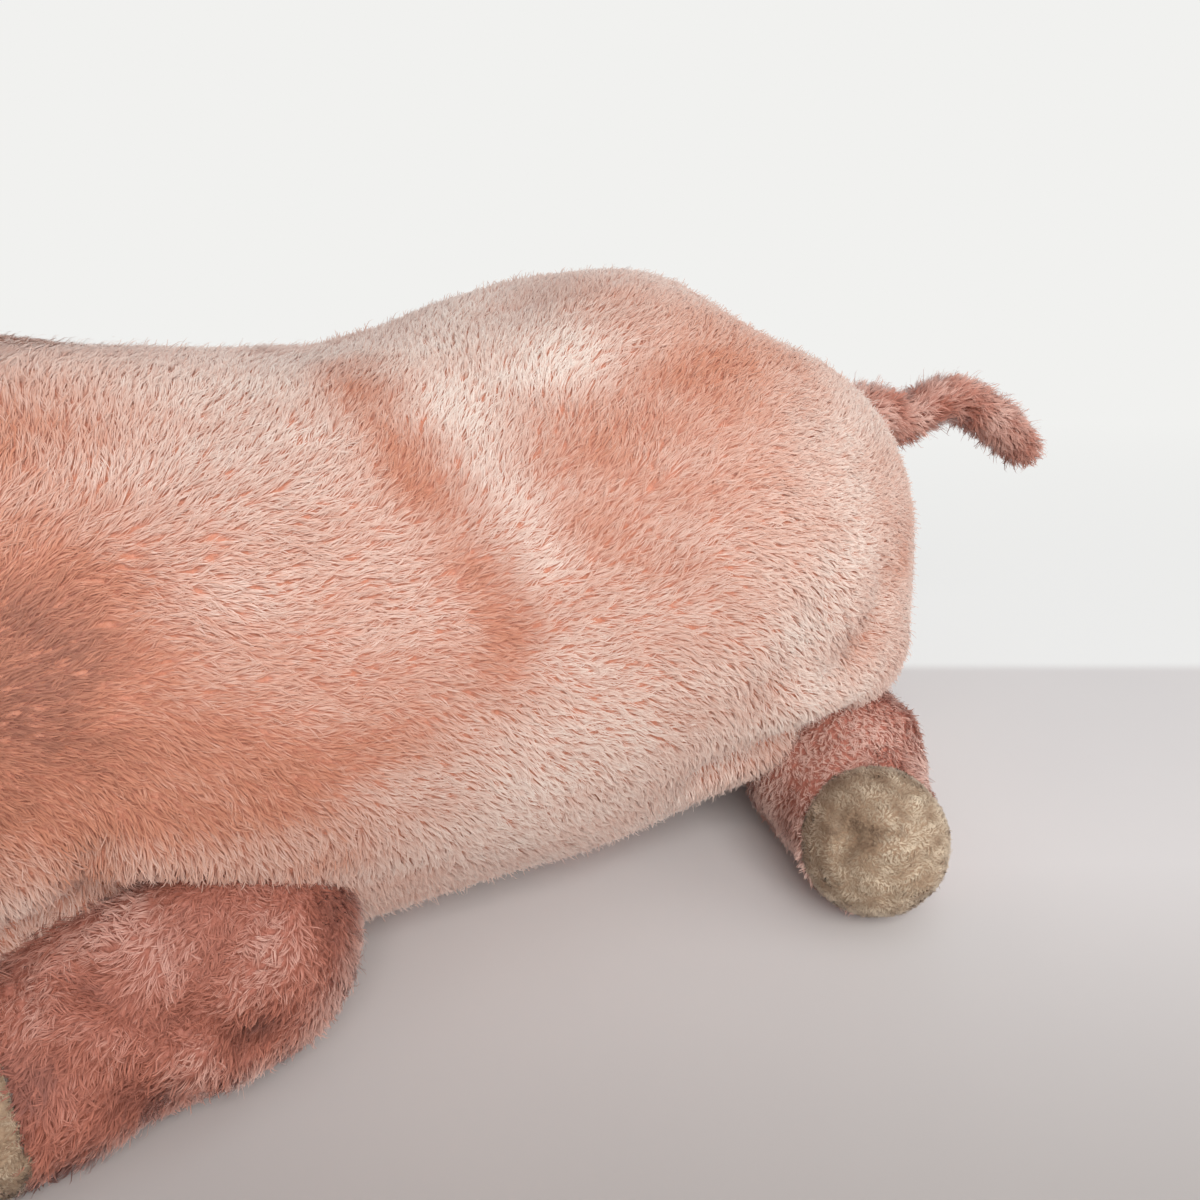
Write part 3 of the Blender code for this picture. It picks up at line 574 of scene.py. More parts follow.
def body_painted_light_and_tone(points, normals):
    """How light each lock is: its own tone, with painted shade and painted highlights from the patches and streaks,
    and painted shade low down by the table.
    """
    level = plush_tone(points, 5, 0.06)
    for place, radius, change in body_light_and_nap_patches:
        level += change * fade(away_from(points, place), radius)
    level = with_lines(level, points, body_light_and_nap_streaks)
    # Painted shade low on the body, near the table
    level -= 0.10 * np.clip(1 - points[:, 2] / 0.05, 0, 1)
    return shaded_below + (1 - shaded_below) * level


neck_middle = np.array((-0.207, 0, 0.089))
skull_radius = 0.066
hips = {"front": np.array((-0.099, 0.060, 0.0302)), "rear": np.array((0.092, 0.056, 0.0262))}
hip_radii = {"front": 0.0310, "rear": 0.0270}
hidden_depth = 0.004


def body_shows(points, normals):
    """Where the body's pile is not pressed on the table, in the neck seam or in a hip."""
    shows = (points[:, 2] > 0.002) & (normals[:, 2] > -0.93)
    shows &= away_from(points, neck_middle) > skull_radius - hidden_depth
    for end, hip in hips.items():
        for side in (-1, 1):
            shows &= away_from(points, hip * (1, side, 1)) > hip_radii[end] - hidden_depth
    return shows


pile("body_pile", body_cover, "body", pink_pile, 11, body_lay, body_painted_light_and_tone,
     lock_spacing=0.00155, strands_per_lock=6, length=0.0043, rise=0.0018, width=0.00023,
     lock_radius=0.00075, keep=body_shows)


# Stuffing
# Loose white polyester fibre fills every cover. It is drawn as one soft form a little inside each cover.

fibre = backing_material("white fibre", (214, 214, 208), (246, 246, 242), 400, 0.0008)


def stuffing(name, cover, body, inset):
    """The fibre inside a cover."""
    mesh = cover.data.copy()
    mesh.name = name
    inner = read_mesh(mesh.vertices, "co") - read_mesh(mesh.vertex_normals, "vector") * inset
    inner[:, 2] = np.maximum(inner[:, 2], inset)
    mesh.vertices.foreach_set("co", inner.ravel())
    mesh.update()
    mesh.materials.clear()
    mesh.materials.append(fibre)
    obj = new_object(name, mesh)
    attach(obj, body)
    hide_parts(name)


stuffing("body_stuffing", body_cover, "body", 0.0035)


# Legs
# Each leg is a short stuffed tube of the same plush, sewn into a flank at the hip and lying on the table.
# Its pile is shorter, curlier and deeper in colour than the body's, and on the front legs it is darkened further with
# painted shade.

leg_tube_stations = (
    # along the leg, how much of the way the radius has gone from the hip's to the end's
    (0.00, 0.40), (0.10, 0.42), (0.30, 0.38), (0.45, 0.40), (0.60, 0.58), (0.72, 0.72), (0.88, 0.88), (1.00, 1.00),
)
leg_end_radius = 0.0205
leg_layouts = {
    # length to the hoof seam, turn from straight out toward the head, tilt of the hoof, lift of its seam
    "front": (0.0615, math.radians(74), math.radians(4), 0.0),
    "rear": (0.0380, math.radians(18), math.radians(24), 0.0018),
}
table_press = 0.0008
leg_around = 72
union_power = 9
leg_folds = {
    # on a left leg: line in millimetres, half width, depth
    "front": in_metres((
        (((-134, -80, 46), (-122, -89, 40), (-111, -91, 33), (-98, -90, 22)), 0.0050, 0.0036),
        (((-151, -76, 42), (-140, -84, 42), (-129, -90, 38), (-118, -93, 28), (-106, -90, 12)), 0.0055, -0.0026),
        (((-114, -84, 47), (-103, -90, 39), (-89, -88, 24)), 0.0080, 0.0008),
        (((-144, -66, 46), (-128, -72, 50), (-112, -75, 54)), 0.0120, -0.0052),
        (((-146, -88, 36), (-135, -94, 26)), 0.0060, 0.0012),
        (((-118, -93, 14), (-112, -91, 4)), 0.0060, 0.0022),
    )),
    "rear": in_metres((
        (((112, -68, 42), (94, -75, 45), (76, -74, 44)), 0.0050, -0.0012),
        (((66, -59, 16), (70, -76, 22)), 0.0050, 0.0010),
    )),
}
# Base tone of each leg's pile: the front legs' lies in the dimmed range, painted shade; the rear legs' is raised,
# painted light where the body shades them
leg_shade_and_tone_levels = {"front": 0.26, "rear": 0.52}
leg_pile_sizes = {"front": (0.0036, 0.0021), "rear": (0.0029, 0.0016)}
leg_backing = backing_material("leg knitted backing", (168, 102, 84), (196, 130, 112), 900, 0.0003)
swung_clear = 0.030
leg_pile = pile_material("leg pile", (158, 90, 71), (204, 137, 117), (183, 114, 94), (244, 212, 198), 0.25)


def rings_along(middles, axes, radii, around):
    """Points of rings round a run of middles, square to the axes, and the way that each point faces."""
    side = unit(np.cross(axes, (0, 0, 1.0)))
    up = np.cross(side, axes)
    angle = full_turn(around)
    out = (side[:, None] * np.cos(angle)[None, :, None] + up[:, None] * np.sin(angle)[None, :, None])
    points = middles[:, None] + out * np.asarray(radii)[:, None, None]
    return points.reshape(-1, 3), out.reshape(-1, 3)


hip_back_angles = np.radians(np.linspace(6, 84, 12))
leg_shares = np.linspace(0, 1, 30)
end_tuck, end_steps = np.array((0.93, 0.60, 0.20)), (0.0006, 0.0010, 0.0012)

legs = {}
for end, (reach, heading, tilt, lift) in leg_layouts.items():
    for side_name, side in (("left", -1), ("right", 1)):
        hip = hips[end] * (1, side, 1)
        level = np.array((-math.sin(heading), side * math.cos(heading), 0))
        seam = hip + level * reach
        seam[2] = leg_end_radius - table_press + lift
        axis = level * math.cos(tilt) + np.array((0, 0, math.sin(tilt)))
        run = unit(seam - hip)
        back, share = hip_back_angles, leg_shares
        gone = through(leg_tube_stations, share)[0]
        tube = hip_radii[end] + (leg_end_radius - hip_radii[end]) * gone
        ball = np.sqrt(np.maximum(hip_radii[end] ** 2 - (share * reach) ** 2, 0))
        leg_radii = (tube ** union_power + ball ** union_power) ** (1 / union_power)
        leg_radii *= hip_radii[end] / leg_radii[0] * (1 - share) + share
        middles = np.vstack([
            hip - np.outer(np.cos(back), run) * hip_radii[end],
            hip + np.outer(share, seam - hip),
            seam + np.outer(end_steps, axis)])
        facing_along = np.vstack([np.tile(run, (len(back), 1)),
                                  unit(np.outer(1 - share, run) + np.outer(share, axis)),
                                  np.tile(axis, (len(end_steps), 1))])
        radii = np.concatenate([np.sin(back) * hip_radii[end], leg_radii, end_tuck * leg_end_radius])
        points, out = rings_along(middles, facing_along, radii, leg_around)
        sunk = with_lines(-0.0005 * swirls(points, 31, 0.030), on_left(points), leg_folds[end])
        points -= out * sunk[:, None]
        points[:, 2] = np.maximum(points[:, 2], 0.0003)
        body = f"{end}_{side_name}_leg"
        cover = skin(f"{body}_skin", points, len(middles), leg_around, leg_backing, body)
        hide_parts(f"{body}_cover")
        stuffing(f"{body}_stuffing", cover, body, 0.0032)
        legs[f"{end}_{side_name}"] = (seam, axis)

        def leg_shows(points, normals):
            return ((points[:, 2] > 0.001) & (normals[:, 2] > -0.85) & (torso_field(points) > -swung_clear)
                    & ((points - seam) @ axis < 0.0004))

        def leg_lay(points, normals):
            return turned(run + np.array((0, 0, -0.45)), normals, 0.5 * swirls(points, 41, 0.020))

        def leg_painted_light_and_tone(points, normals):
            level = leg_shade_and_tone_levels[end] + 0.10 * swirls(points, 43, 0.025)
            # Painted shade in the folds and painted highlights on the ridges between them
            for line, width, depth in leg_folds[end]:
                level -= (45 if depth < 0 else 60) * depth * fade(near_line(on_left(points), line), width)
            # Painted light on the rear legs' sides, where the body shades them
            if end == "rear":
                level += 0.34 * np.abs(normals[:, 0])
            # Painted sheen along the legs' right and lower edges
            return level + 0.55 * np.clip(normals @ (0.80, 0.35 * side, -0.45), 0, 1) ** 3

        pile(f"{body}_pile", cover, body, leg_pile, 50 + len(legs), leg_lay, leg_painted_light_and_tone,
             lock_spacing=0.0015, strands_per_lock=6, length=leg_pile_sizes[end][0], rise=leg_pile_sizes[end][1],
             lock_radius=0.0007, turn=0.42, keep=leg_shows)


# Hooves
# A cap of short, dense, curly taupe pile is sewn over the end of each leg and stuffed.
# One stitch of brown thread pulls its middle in and runs up over the top, which makes a small cleft.

# The front hooves' lower tone is painted shade
hoof_shade_and_tone_levels = {"front": 0.36, "rear": 0.64}
hoof_length = 0.021
hoof_swell = 0.0012
hoof_power = 2.25
cleft_start, cleft_end = math.radians(8), math.radians(66)
taupe_backing = backing_material("taupe woven backing", (140, 112, 88), (172, 148, 122), 1100, 0.0002)
taupe_pile = pile_material("taupe pile", (128, 100, 76), (194, 170, 144), (152, 126, 102), (232, 214, 188), 0.20)
thread = backing_material("brown thread", (92, 66, 48), (140, 108, 84), 2600, 0.0001, 0.2)

radius = leg_end_radius + hoof_swell
for leg_name, (seam, axis) in legs.items():
    upward = unit(np.array((0, 0, 1.0)) - axis * axis[2])
    sideways = np.cross(upward, axis) * (1 if leg_name.endswith("left") else -1)
    angle = np.radians(np.concatenate([np.linspace(0, 70, 22), np.linspace(73, 89, 8)]))
    out_share = np.concatenate([[0.90, 0.97], np.cos(angle) ** (2 / hoof_power)])
    on_share = np.concatenate([[-0.06, -0.02], np.sin(angle) ** (2 / hoof_power)])
    middles = seam + np.outer(on_share * hoof_length, axis)
    points, out = rings_along(middles, np.tile(axis, (len(middles), 1)), out_share * radius, leg_around)
    pucker = seam + axis * hoof_length + upward * 0.0052 - sideways * 0.0118
    cleft = [pucker] + [seam + axis * hoof_length * math.cos(turn) + upward * radius * math.sin(turn)
                        for turn in np.linspace(cleft_start * 2, cleft_end, 8)]
    low_fold = [pucker, pucker - upward * 0.009 - sideways * 0.011 - axis * 0.006]
    bulge = [pucker + sideways * 0.0095 + upward * 0.004, pucker + sideways * 0.0090 - upward * 0.005]
    dent = [pucker + upward * 0.003 - sideways * 0.002, pucker + upward * 0.007 - sideways * 0.006 - axis * 0.004]
    hoof_folds = (
        # line, half width, depth
        ([pucker, pucker + axis * 0.001], 0.0036, 0.0036),
        (cleft, 0.0020, 0.0016), (low_fold, 0.0030, 0.0038), (bulge, 0.0062, -0.0022), (dent, 0.0050, 0.0048),
    )
    sunk = with_lines(np.zeros(len(points)), points, hoof_folds) - 0.0004 * swirls(points, 61, 0.014)
    points -= axis * sunk[:, None]
    points[:, 2] = np.maximum(points[:, 2], 0.0003)
    body = f"{leg_name}_leg"
    cap = skin(f"{leg_name}_hoof_skin", points, len(middles), leg_around, taupe_backing, body)
    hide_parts(f"{leg_name}_hoof_cap")
    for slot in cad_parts[f"{leg_name}_hoof_stitch"].material_slots:
        slot.material = thread

    def hoof_shows(points, normals):
        return (points[:, 2] > 0.001) & (normals[:, 2] > -0.85) & ((points - seam) @ axis > -0.0012)

    def hoof_lay(points, normals):
        outward = unit(points - pucker + axis * 0.004) + 0.25 * sideways
        return turned(outward, normals, 1.1 * swirls(points, 63, 0.0065))

    def hoof_painted_light_and_tone(points, normals):
        level = hoof_shade_and_tone_levels[leg_name.split("_")[0]]
        level = level + 0.12 * swirls(points, 64, 0.005) + 0.05 * swirls(points, 65, 0.015)
        # Painted shade in the cleft, the dent and the low fold, and a painted highlight on the bulge
        level -= 0.30 * fade(near_line(points, cleft), 0.0022) + 1.10 * fade(near_line(points, dent), 0.006)
        return level - 0.30 * fade(near_line(points, low_fold), 0.0030) + 0.15 * fade(near_line(points, bulge), 0.006)

    pile(f"{leg_name}_hoof_pile", cap, body, taupe_pile, 70 + len(leg_name), hoof_lay, hoof_painted_light_and_tone,
         lock_spacing=0.0009, strands_per_lock=5, length=0.0011, rise=0.0006, width=0.00017,
         lock_radius=0.0004, turn=0.45, keep=hoof_shows)


# Tail
# A narrow tube of the deeper plush round a thin soft core, sewn into the rump and bent into an S.

tail_root = np.array((0.1363, 0, 0.1190))
tail_length = 0.0810
tail_wave = 0.0090
tail_radius = 0.0052
tail_pile_start = 0.130
tail_stations = (
    # along the length, height as a share of the wave, radius as a share of the tail's
    (-0.060, 0.10, 1.10), (0.00, 0.10, 1.45), (0.10, 0.02, 1.30), (0.23, -0.34, 1.05), (0.37, 0.05, 1.00),
    (0.50, 0.22, 1.00), (0.62, -0.15, 1.02), (0.72, -0.70, 1.02), (0.90, -1.80, 0.96), (0.985, -2.45, 0.74),
)
tail_rings, tail_around = 60, 40
share = np.concatenate([np.linspace(-0.060, 0.985, tail_rings - 4), (1.0, 1.008, 1.012, 1.014)])
height, swell = through(tail_stations, np.minimum(share, 0.985))
height = np.where(share > 0.985, height - (share - 0.985) * 7, height)
swell = np.where(share > 0.985, np.array([0.72] * (tail_rings - 4) + [0.60, 0.44, 0.25, 0.08]), swell)
middles = tail_root + np.stack([share * tail_length, 0 * share, height * tail_wave], 1)
facing_along = unit(np.gradient(middles, axis=0))
points, out = rings_along(middles, facing_along, swell * tail_radius, tail_around)
tail_cover = skin("tail_skin", points, tail_rings, tail_around, leg_backing, "tail")
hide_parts("tail_cover")
stuffing("tail_core", tail_cover, "tail", 0.0024)


def tail_lay(points, normals):
    nearest = np.abs(points[:, None, 0] - middles[None, :, 0]).argmin(1)
    return facing_along[nearest]


def tail_painted_light_and_tone(points, normals):
    # Lighter where the tail faces up: painted light from above
    return 0.50 + 0.10 * swirls(points, 81, 0.012) + 0.10 * np.clip(normals[:, 2], -0.5, 1)


pile("tail_pile", tail_cover, "tail", leg_pile, 83, tail_lay, tail_painted_light_and_tone,
     lock_spacing=0.0014, strands_per_lock=8, length=0.0048, rise=0.0036, width=0.00024,
     lock_radius=0.0007, turn=0.32, keep=lambda points, normals: points[:, 0] > tail_pile_start)


# Head
# A round skull of plush with full cheeks and a short muzzle, sewn to the neck end of the body.
# The photograph does not show it, so it is a plain pig's head in the body's proportions and pile.

muzzle_stations = (
    # along X, half width, middle height, half height
    (-0.2995, 0.0235, 0.0672, 0.0215),
    (-0.2900, 0.0240, 0.0675, 0.0220),
    (-0.2806, 0.0262, 0.0675, 0.0245),
    (-0.2740, 0.0370, 0.0700, 0.0325),
    (-0.2660, 0.0520, 0.0760, 0.0440),
    (-0.2560, 0.0605, 0.0805, 0.0520),
    (-0.2420, 0.0645, 0.0850, 0.0570),
    (-0.2250, 0.0640, 0.0870, 0.0590),
    (-0.2070, 0.0560, 0.0890, 0.0560),
    (-0.1960, 0.0500, 0.0890, 0.0500),
)
muzzle_face = -0.297
skull_end = -0.200
cheek_fillet = 0.010
head_line = ((-0.190, 0, 0.088), (-0.268, 0, 0.072))
head_rings, head_around = 150, 180


def head_field(points):
    """How far points are outside the stuffed head, negative inside."""
    x, y, z = points.T
    wide, middle, tall = through(muzzle_stations, x)
    ring = ((np.abs(y) / wide) ** 2.15 + (np.abs(z - middle) / tall) ** 2.15) ** (1 / 2.15)
    muzzle = (ring - 1) * np.minimum(wide, tall)
    for end in (muzzle_face - x, x - skull_end):
        muzzle = -blended(-muzzle, -end, 0.004)
    return blended(muzzle, egg(points, neck_middle, (skull_radius,) * 3), cheek_fillet)


starts, directions = rays_round_line(head_line, head_rings, head_around, 0.36)
points = ray_surface(head_field, starts, directions, 0.13)
eye_way = np.array((-0.7678, 0.5497, 0.3290))
eye_reach = 0.0690
sunk = -0.0005 * swirls(points, 91, 0.040)
for side in (-1, 1):
    sunk += 0.0016 * fade(away_from(points, neck_middle + eye_way * (1, side, 1) * eye_reach), 0.0100)
points -= directions * sunk[:, None]
points[:, 0] = np.maximum(points[:, 0], muzzle_face)
head_cover = skin("head_skin", points, head_rings, head_around, pink_backing, "head")
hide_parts("head_cover")
stuffing("head_stuffing", head_cover, "head", 0.0032)

snout_middle = np.array((muzzle_face, 0, 0.0670))
turned_clear = 0.031
eye_clear = 0.0068


def head_shows(points, normals):
    shows = torso_field(points) > -turned_clear
    shows &= (points[:, 0] > muzzle_face + 0.0006)
    for side in (-1, 1):
        shows &= away_from(points, neck_middle + eye_way * (1, side, 1) * eye_reach) > eye_clear
    return shows


def head_lay(points, normals):
    """The head's pile lies back from the snout, and a little down on the cheeks."""
    outward = points - np.array((-0.300, 0, 0.075))
    return (unit(outward) + np.array((0.35, 0, -0.25))
            + 0.2 * swirls(points, 93, 0.07)[:, None] * np.cross(normals, outward))


def head_tone(points, normals):
    return plush_tone(points, 95, 0.05) - 0.10 * fade(points[:, 0] + 0.290, 0.012)


pile("head_pile", head_cover, "head", pink_pile, 97, head_lay, head_tone,
     lock_spacing=0.0018, strands_per_lock=6, length=0.0046, rise=0.0019, lock_radius=0.0008, keep=head_shows)


# Snout pad and nostrils
# An oval disc of paler short pile is sewn on the end of the muzzle, with a rounded rim.
# Each nostril is a small oval of brown thread, laid side by side in satin stitch.

snout_half_width, snout_half_height, snout_thickness = 0.0230, 0.0190, 0.0050
snout_around = 64
snout_backing = backing_material("pale lining cloth", (196, 138, 122), (226, 172, 156), 1300, 0.0002, 0.25)
snout_pile = pile_material("pale short pile", (176, 108, 92), (206, 140, 122), (214, 156, 140), (244, 206, 194), 0.25)

snout_profile = (
    # forward as a share of the thickness, size as a share of the disc's
    (0.02, 0.90), (0.06, 0.985), (0.25, 1.00), (0.55, 1.00), (0.74, 0.985), (0.88, 0.95), (0.95, 0.90),
    (0.985, 0.80), (1.00, 0.66), (1.00, 0.48), (0.995, 0.28), (0.99, 0.08),
)
turns = full_turn(snout_around)
rows = []
for forward, size in snout_profile:
    rows.append(np.stack([np.full(snout_around, muzzle_face - 0.0003 - forward * snout_thickness),
                          -snout_half_width * size * np.cos(turns),
                          snout_middle[2] + snout_half_height * size * np.sin(turns)], 1))
points = np.vstack(rows)
pad_front = muzzle_face - 0.0003 - snout_thickness
nostril_places = [np.array((pad_front, side * 0.008, snout_middle[2])) for side in (-1, 1)]
for place in nostril_places:
    near = np.linalg.norm((points - place) / (0.004, 0.0035, 0.0055), axis=1)
    points[:, 0] += 0.0006 * np.exp(-near ** 2) * (points[:, 0] < pad_front + 0.002)
snout = skin("snout_cushion", points, len(snout_profile), snout_around, snout_backing, "head")
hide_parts("snout_pad")


def snout_shows(points, normals):
    shows = points[:, 0] < muzzle_face - 0.0009
    for place in nostril_places:
        shows &= np.linalg.norm((points - place)[:, 1:] / (0.0030, 0.0050), axis=1) > 1
    return shows


def snout_lay(points, normals):
    return turned(unit(points - snout_middle), normals, 0.9 * swirls(points, 101, 0.010))


pile("snout_pile", snout, "head", snout_pile, 103, snout_lay,
     lambda points, normals: 0.58 + 0.10 * swirls(points, 105, 0.006),
     lock_spacing=0.0013, strands_per_lock=6, length=0.0020, rise=0.0009, width=0.00022,
     lock_radius=0.0005, turn=0.4, keep=snout_shows)

stitch_rows, stitch_steps, stitch_around = 13, 9, 8
nostril_half_width, nostril_half_height = 0.0025, 0.0042
stitch_bulge = 0.0011
for side_name, place in zip(("left", "right"), nostril_places):
    verts, faces = [], []
    for row in range(stitch_rows):
        up = (row - (stitch_rows - 1) / 2) / ((stitch_rows - 1) / 2)
        half = nostril_half_width * math.sqrt(max(1 - (up * 0.97) ** 2, 0.02))
        middle = place + np.array((0, 0, up * nostril_half_height))
        first = len(verts)
        for step in range(stitch_steps):
            across = -1 + step / 4
            lift = stitch_bulge * (1 - abs(across) ** 2.5)
            for angle in full_turn(stitch_around):
                verts.append((middle[0] + 0.0002 - lift - 0.00036 * math.cos(angle),
                              middle[1] + across * half,
                              middle[2] + 0.0002 * math.sin(across * 2 + row) + 0.00040 * math.sin(angle)))
        for step in range(stitch_steps - 1):
            for turn in range(stitch_around):
                near = first + step * stitch_around + turn
                far = first + step * stitch_around + (turn + 1) % stitch_around
                faces.append((near, near + stitch_around, far + stitch_around, far))
        faces.append(tuple(range(first, first + stitch_around)))
        faces.append(tuple(range(len(verts) - 1, len(verts) - 1 - stitch_around, -1)))
    mesh = bpy.data.meshes.new(f"nostril_{side_name}_stitches")
    mesh.from_pydata(verts, [], faces)
    mesh.shade_smooth()
    mesh.materials.append(thread)
    nostril = new_object(mesh.name, mesh)
    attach(nostril, "head")
    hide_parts(f"nostril_{side_name}")


# Eyes
# Domes of glossy black plastic on stems that go through the cloth, each held inside by a pressed washer.

eye_radius = 0.0065
eye_dome_height = 0.0042
eye_pole = np.array((-0.2642, 0.04095, 0.11351))
eye_around = 48
black_plastic, tree, shader = new_material("black plastic")
place = node_in(tree, "TexCoord", {}).outputs["Object"]
specks = node_in(tree, "TexNoise", {"Vector": place, "Scale": 900.0, "Detail": 3.0}).outputs["Fac"]
gloss = node_in(tree, "MapRange", {"Value": specks, "To Min": 0.07, "To Max": 0.16}).outputs[0]
feed(tree, shader, {"Roughness": gloss,
                    "Base Color": mix_colours(tree, specks, shade(16, 12, 11), shade(30, 24, 22))})

washer_plastic = backing_material("washer plastic", (222, 222, 216), (236, 236, 232), 300, 0.00005, 0.0, 0.4)

for side_name, side in (("left", -1), ("right", 1)):
    pole = eye_pole * (1, side, 1)
    facing = unit(pole - neck_middle)
    base = pole - facing * eye_dome_height
    stem = 0.0016 / eye_radius
    rise = np.array((-2.60, -2.58, -0.22, -0.20, -0.10, 0.02, 0.14, 0.28, 0.46, 0.64, 0.79, 0.90, 0.97, 0.995))
    size = np.array((stem * 0.6, stem, stem, 0.88, 0.97, 1.00, 0.985, 0.95, 0.87, 0.75, 0.60, 0.43, 0.24, 0.08))
    middles = base + np.outer(rise * eye_dome_height, facing)
    points, out = rings_along(middles, np.tile(facing, (len(rise), 1)), size * eye_radius, eye_around)
    eye = skin(f"eye_{side_name}_dome", points, len(rise), eye_around, black_plastic, "head")
    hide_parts(f"eye_{side_name}")
    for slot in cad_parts[f"eye_washer_{side_name}"].material_slots:
        slot.material = washer_plastic


# Ears
# Each ear is a leaf of pink plush over a leaf of paler lining, sewn edge to edge and pinched at its root.

ear_length, ear_width = 0.066, 0.056
ear_droop, ear_forward, ear_root_out = math.radians(20), math.radians(22), math.radians(46)
ear_cup = 0.0040
ear_around = 64
ear_stations = (
    # along the ear, half width as a share, half thickness
    (0.000, 0.26, 0.0070), (0.0068, 0.40, 0.0055), (0.0153, 0.74, 0.0030), (0.0237, 0.95, 0.0018),
    (0.0322, 1.00, 0.0014), (0.0406, 0.93, 0.0013), (0.0491, 0.75, 0.0012), (0.0575, 0.50, 0.0011),
    (0.0625, 0.32, 0.0010), (0.0660, 0.12, 0.0006),
)
lining_drop = 0.00285
lining_share = 0.84
lining_start = 0.0105

for side_name, side in (("left", -1), ("right", 1)):
    root_way = unit(np.array((-0.25, side * math.sin(ear_root_out), math.cos(ear_root_out))))
    root_place = neck_middle + root_way * skull_radius
    along = np.array((-math.sin(ear_forward) * math.cos(ear_droop),
                      side * math.cos(ear_forward) * math.cos(ear_droop), -math.sin(ear_droop)))
    across = unit(np.cross(along, (0, 0, 1.0)))
    up = np.cross(across, along)
    turns = full_turn(ear_around)
    for layer, cover_name, body_slot, material in (
            ("outer", f"ear_{side_name}_skin", "pink_plush", pink_backing),
            ("lining", f"ear_{side_name}_lining", "pale_lining", snout_backing)):
        inner = layer == "lining"
        run = np.linspace(lining_start if inner else 0.0, ear_length * ((1 + lining_share) / 2 if inner else 1), 44)
        stretch = lining_start + (run - lining_start) * (ear_length - lining_start) / (run[-1] - lining_start)
        lookup = stretch if inner else run
        wide, thick = through(ear_stations, lookup)
        wide = wide * ear_width / 2 * (lining_share if inner else 1)
        thick = np.minimum(thick, 0.0010) if inner else thick
        side_share = np.sign(np.cos(turns)) * np.abs(np.cos(turns)) ** 0.8
        up_share = np.sign(np.sin(turns)) * np.abs(np.sin(turns)) ** 0.9
        curl = -ear_cup * np.outer(wide / (ear_width / 2), side_share ** 2)
        wave = 0.0012 * np.outer(np.sin(run * 160), side_share)
        points = (root_place + along * run[:, None, None]
                  + across * (wide[:, None] * side_share)[:, :, None]
                  + up * (thick[:, None] * up_share + curl + wave - (lining_drop if inner else 0))[:, :, None])
        leaf = skin(cover_name, points.reshape(-1, 3), len(run), ear_around, material, f"ear_{side_name}")
        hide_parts(f"ear_{layer}_{side_name}")

        def outer_shows(points, normals):
            return (normals @ up > -0.35) & (away_from(points, neck_middle) > skull_radius - 0.004)

        def lining_shows(points, normals):
            return (normals @ up < 0.35) & (away_from(points, neck_middle) > skull_radius - 0.002)

        def ear_lay(points, normals):
            return along + 0.3 * swirls(points, 111, 0.03)[:, None] * across

        pile(f"ear_{side_name}_{layer}_pile", leaf, f"ear_{side_name}",
             snout_pile if inner else pink_pile, 113 + side, ear_lay,
             lambda points, normals: 0.58 + 0.09 * swirls(points, 115, 0.02),
             lock_spacing=0.0020, strands_per_lock=7, length=0.0024 if inner else 0.0050,
             rise=0.0009 if inner else 0.0020, width=0.00028,
             keep=lining_shows if inner else outer_shows)


# Table, wall and light
# A pale table that ends at a straight far edge, with a white wall beyond it, under soft light from a window.

# Distances from the camera, measured level along the way it looks
table_edge = 0.442
# Where the painted light falloff across the table starts and ends
painted_falloff_start, painted_falloff_end = 0.16, 0.31
edge_softness = 0.010
ledge_width = 0.35
wall_colour = shade(241, 241, 239)
table = new_object("table", bpy.data.meshes.new("table"))
table.data.from_pydata([(-6, -6, 0), (6, -6, 0), (6, 6, 0), (-6, 6, 0)], [], [(0, 1, 2, 3)])


def seen_rays(tree):
    """1 where the camera sees a thing, straight or in a gloss."""
    path = node_in(tree, "LightPath", {})
    return node_in(tree, "Math", {0: path.outputs["Is Camera Ray"], 1: path.outputs["Is Glossy Ray"]},
                   operation="MAXIMUM").outputs[0], path


surface, tree, shader = new_material("pale table")
place = node_in(tree, "TexCoord", {}).outputs["Object"]
away = node_in(tree, "VectorMath", {0: place, 1: (math.sin(camera_turn), math.cos(camera_turn), 0)},
               operation="DOT_PRODUCT").outputs["Value"]
camera_away = camera_place.x * math.sin(camera_turn) + camera_place.y * math.cos(camera_turn)
edge_away = camera_away + table_edge
beyond = node_in(tree, "MapRange", {"Value": away, "From Min": edge_away - edge_softness / 2,
                                    "From Max": edge_away + edge_softness / 2},
                 interpolation_type="SMOOTHSTEP").outputs[0]
grain = node_in(tree, "TexNoise", {"Vector": place, "Scale": 9.0, "Detail": 5.0}).outputs["Fac"]
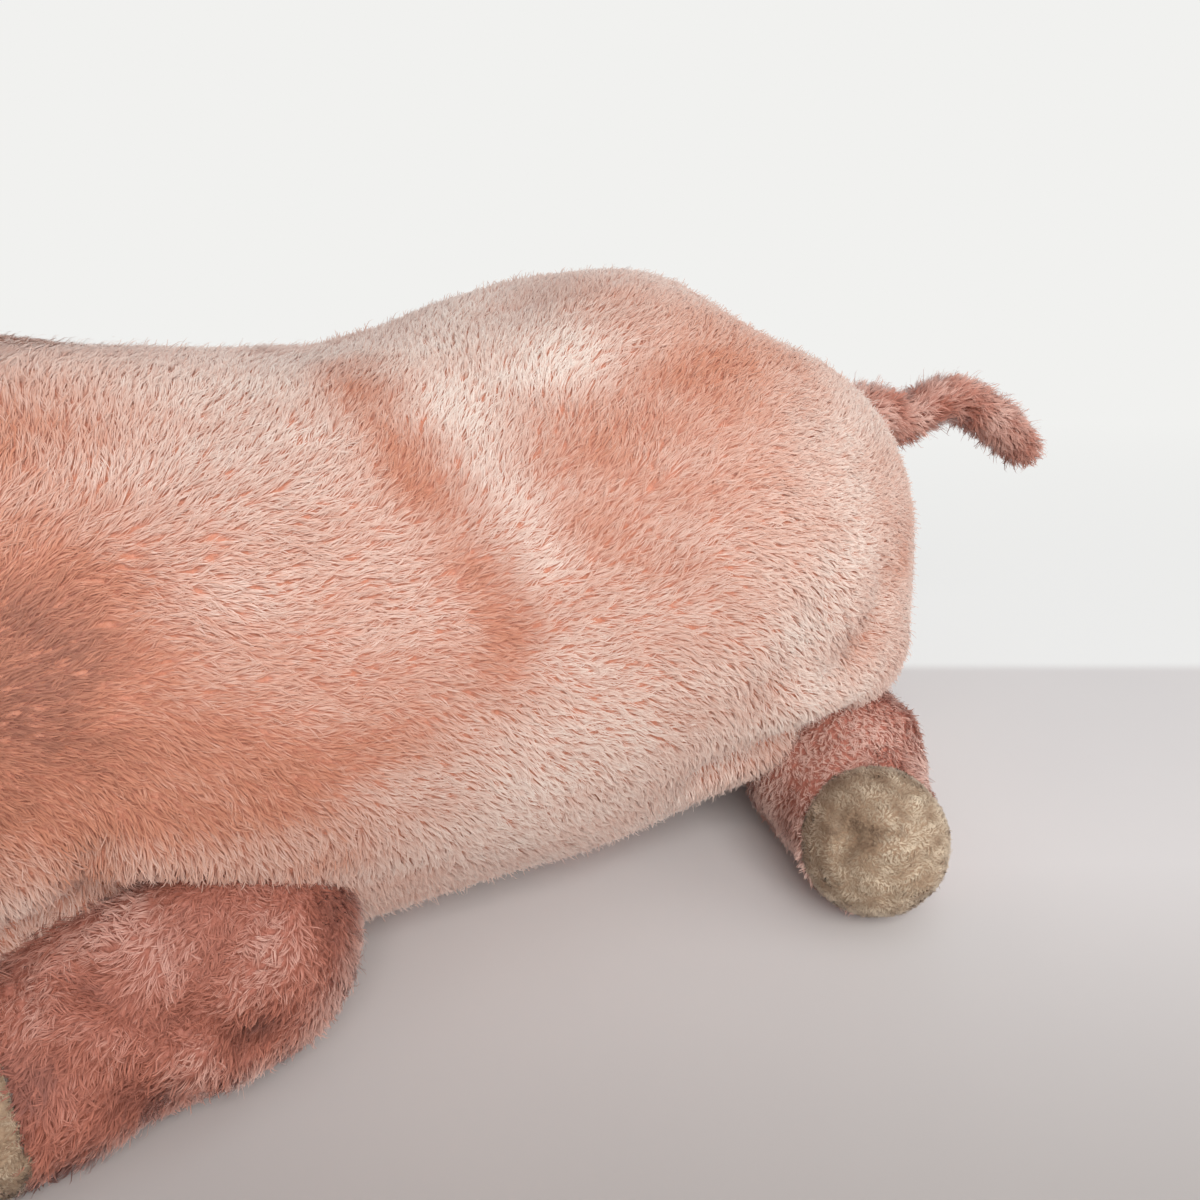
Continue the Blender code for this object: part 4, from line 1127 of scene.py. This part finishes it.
# The table is painted darker near the camera and lighter toward the wall: painted light falloff, which also lifts the
# shade beside the belly
near_painted_shade_colour = mix_colours(tree, grain, shade(168, 162, 159), shade(174, 168, 164))
far_painted_light_colour = mix_colours(tree, grain, shade(216, 212, 211), shade(222, 218, 216))
painted_falloff = node_in(tree, "MapRange", {"Value": away, "From Min": camera_away + painted_falloff_start,
                                         "From Max": camera_away + painted_falloff_end}).outputs[0]
feed(tree, shader, {"Roughness": 0.6, "Base Color": mix_colours(tree, painted_falloff, near_painted_shade_colour, far_painted_light_colour)})
wall_glow = node_in(tree, "Emission", {"Color": wall_colour})
white_ledge = node_in(tree, "BsdfDiffuse", {"Color": shade(238, 238, 237)})
off_ledge = node_in(tree, "MapRange", {"Value": away, "From Min": edge_away, "From Max": edge_away + ledge_width,
                                       "To Min": 0.6})
far_side = node_in(tree, "MixShader", {0: off_ledge.outputs[0], 1: white_ledge.outputs[0], 2: wall_glow.outputs[0]})
seen_beyond = node_in(tree, "Math", {0: seen_rays(tree)[0], 1: beyond}, operation="MULTIPLY")
choose = node_in(tree, "MixShader", {0: seen_beyond.outputs[0], 1: shader.outputs[0], 2: far_side.outputs[0]})
feed(tree, tree.nodes["Material Output"], {"Surface": choose.outputs[0]})
table.data.materials.append(surface)

world = bpy.context.scene.world or bpy.data.worlds.new("room")
bpy.context.scene.world = world
world.use_nodes = True
tree = world.node_tree
room_light = tree.nodes["Background"]
feed(tree, room_light, {"Color": (0.93, 0.95, 1.0, 1), "Strength": 0.28})
room_wall = node_in(tree, "Background", {"Color": wall_colour})
seen, path = seen_rays(tree)
seen_through = node_in(tree, "Math", {0: seen, 1: path.outputs["Is Transmission Ray"]}, operation="MAXIMUM")
choose = node_in(tree, "MixShader", {0: seen_through.outputs[0], 1: room_light.outputs[0], 2: room_wall.outputs[0]})
feed(tree, tree.nodes["World Output"], {"Surface": choose.outputs[0]})

lit_place = Vector((0, 0, 0.05))
for name, place, size, power, colour in (
        # place, side, watts, colour
        ("window", (-0.20, -1.05, 0.78), 0.90, 13.6, (0.99, 0.98, 0.97)),
        ("pale wall at the side", (0.80, -0.85, 0.55), 0.80, 3.6, (1.0, 0.98, 0.97)),
        ("pale ceiling", (0.3, -0.35, 1.2), 1.0, 2.3, (0.97, 0.98, 1.0)),
        ("white wall behind", (0.55, 1.15, 0.60), 1.0, 3.2, (0.98, 0.99, 1.0))):
    lamp = new_object(name, bpy.data.lights.new(name, "AREA"))
    lamp.data.shape = "SQUARE"
    lamp.data.size = size
    lamp.data.energy = power
    lamp.data.color = colour
    lamp.location = place
    lamp.rotation_euler = (lit_place - Vector(place)).to_track_quat("-Z", "Y").to_euler()
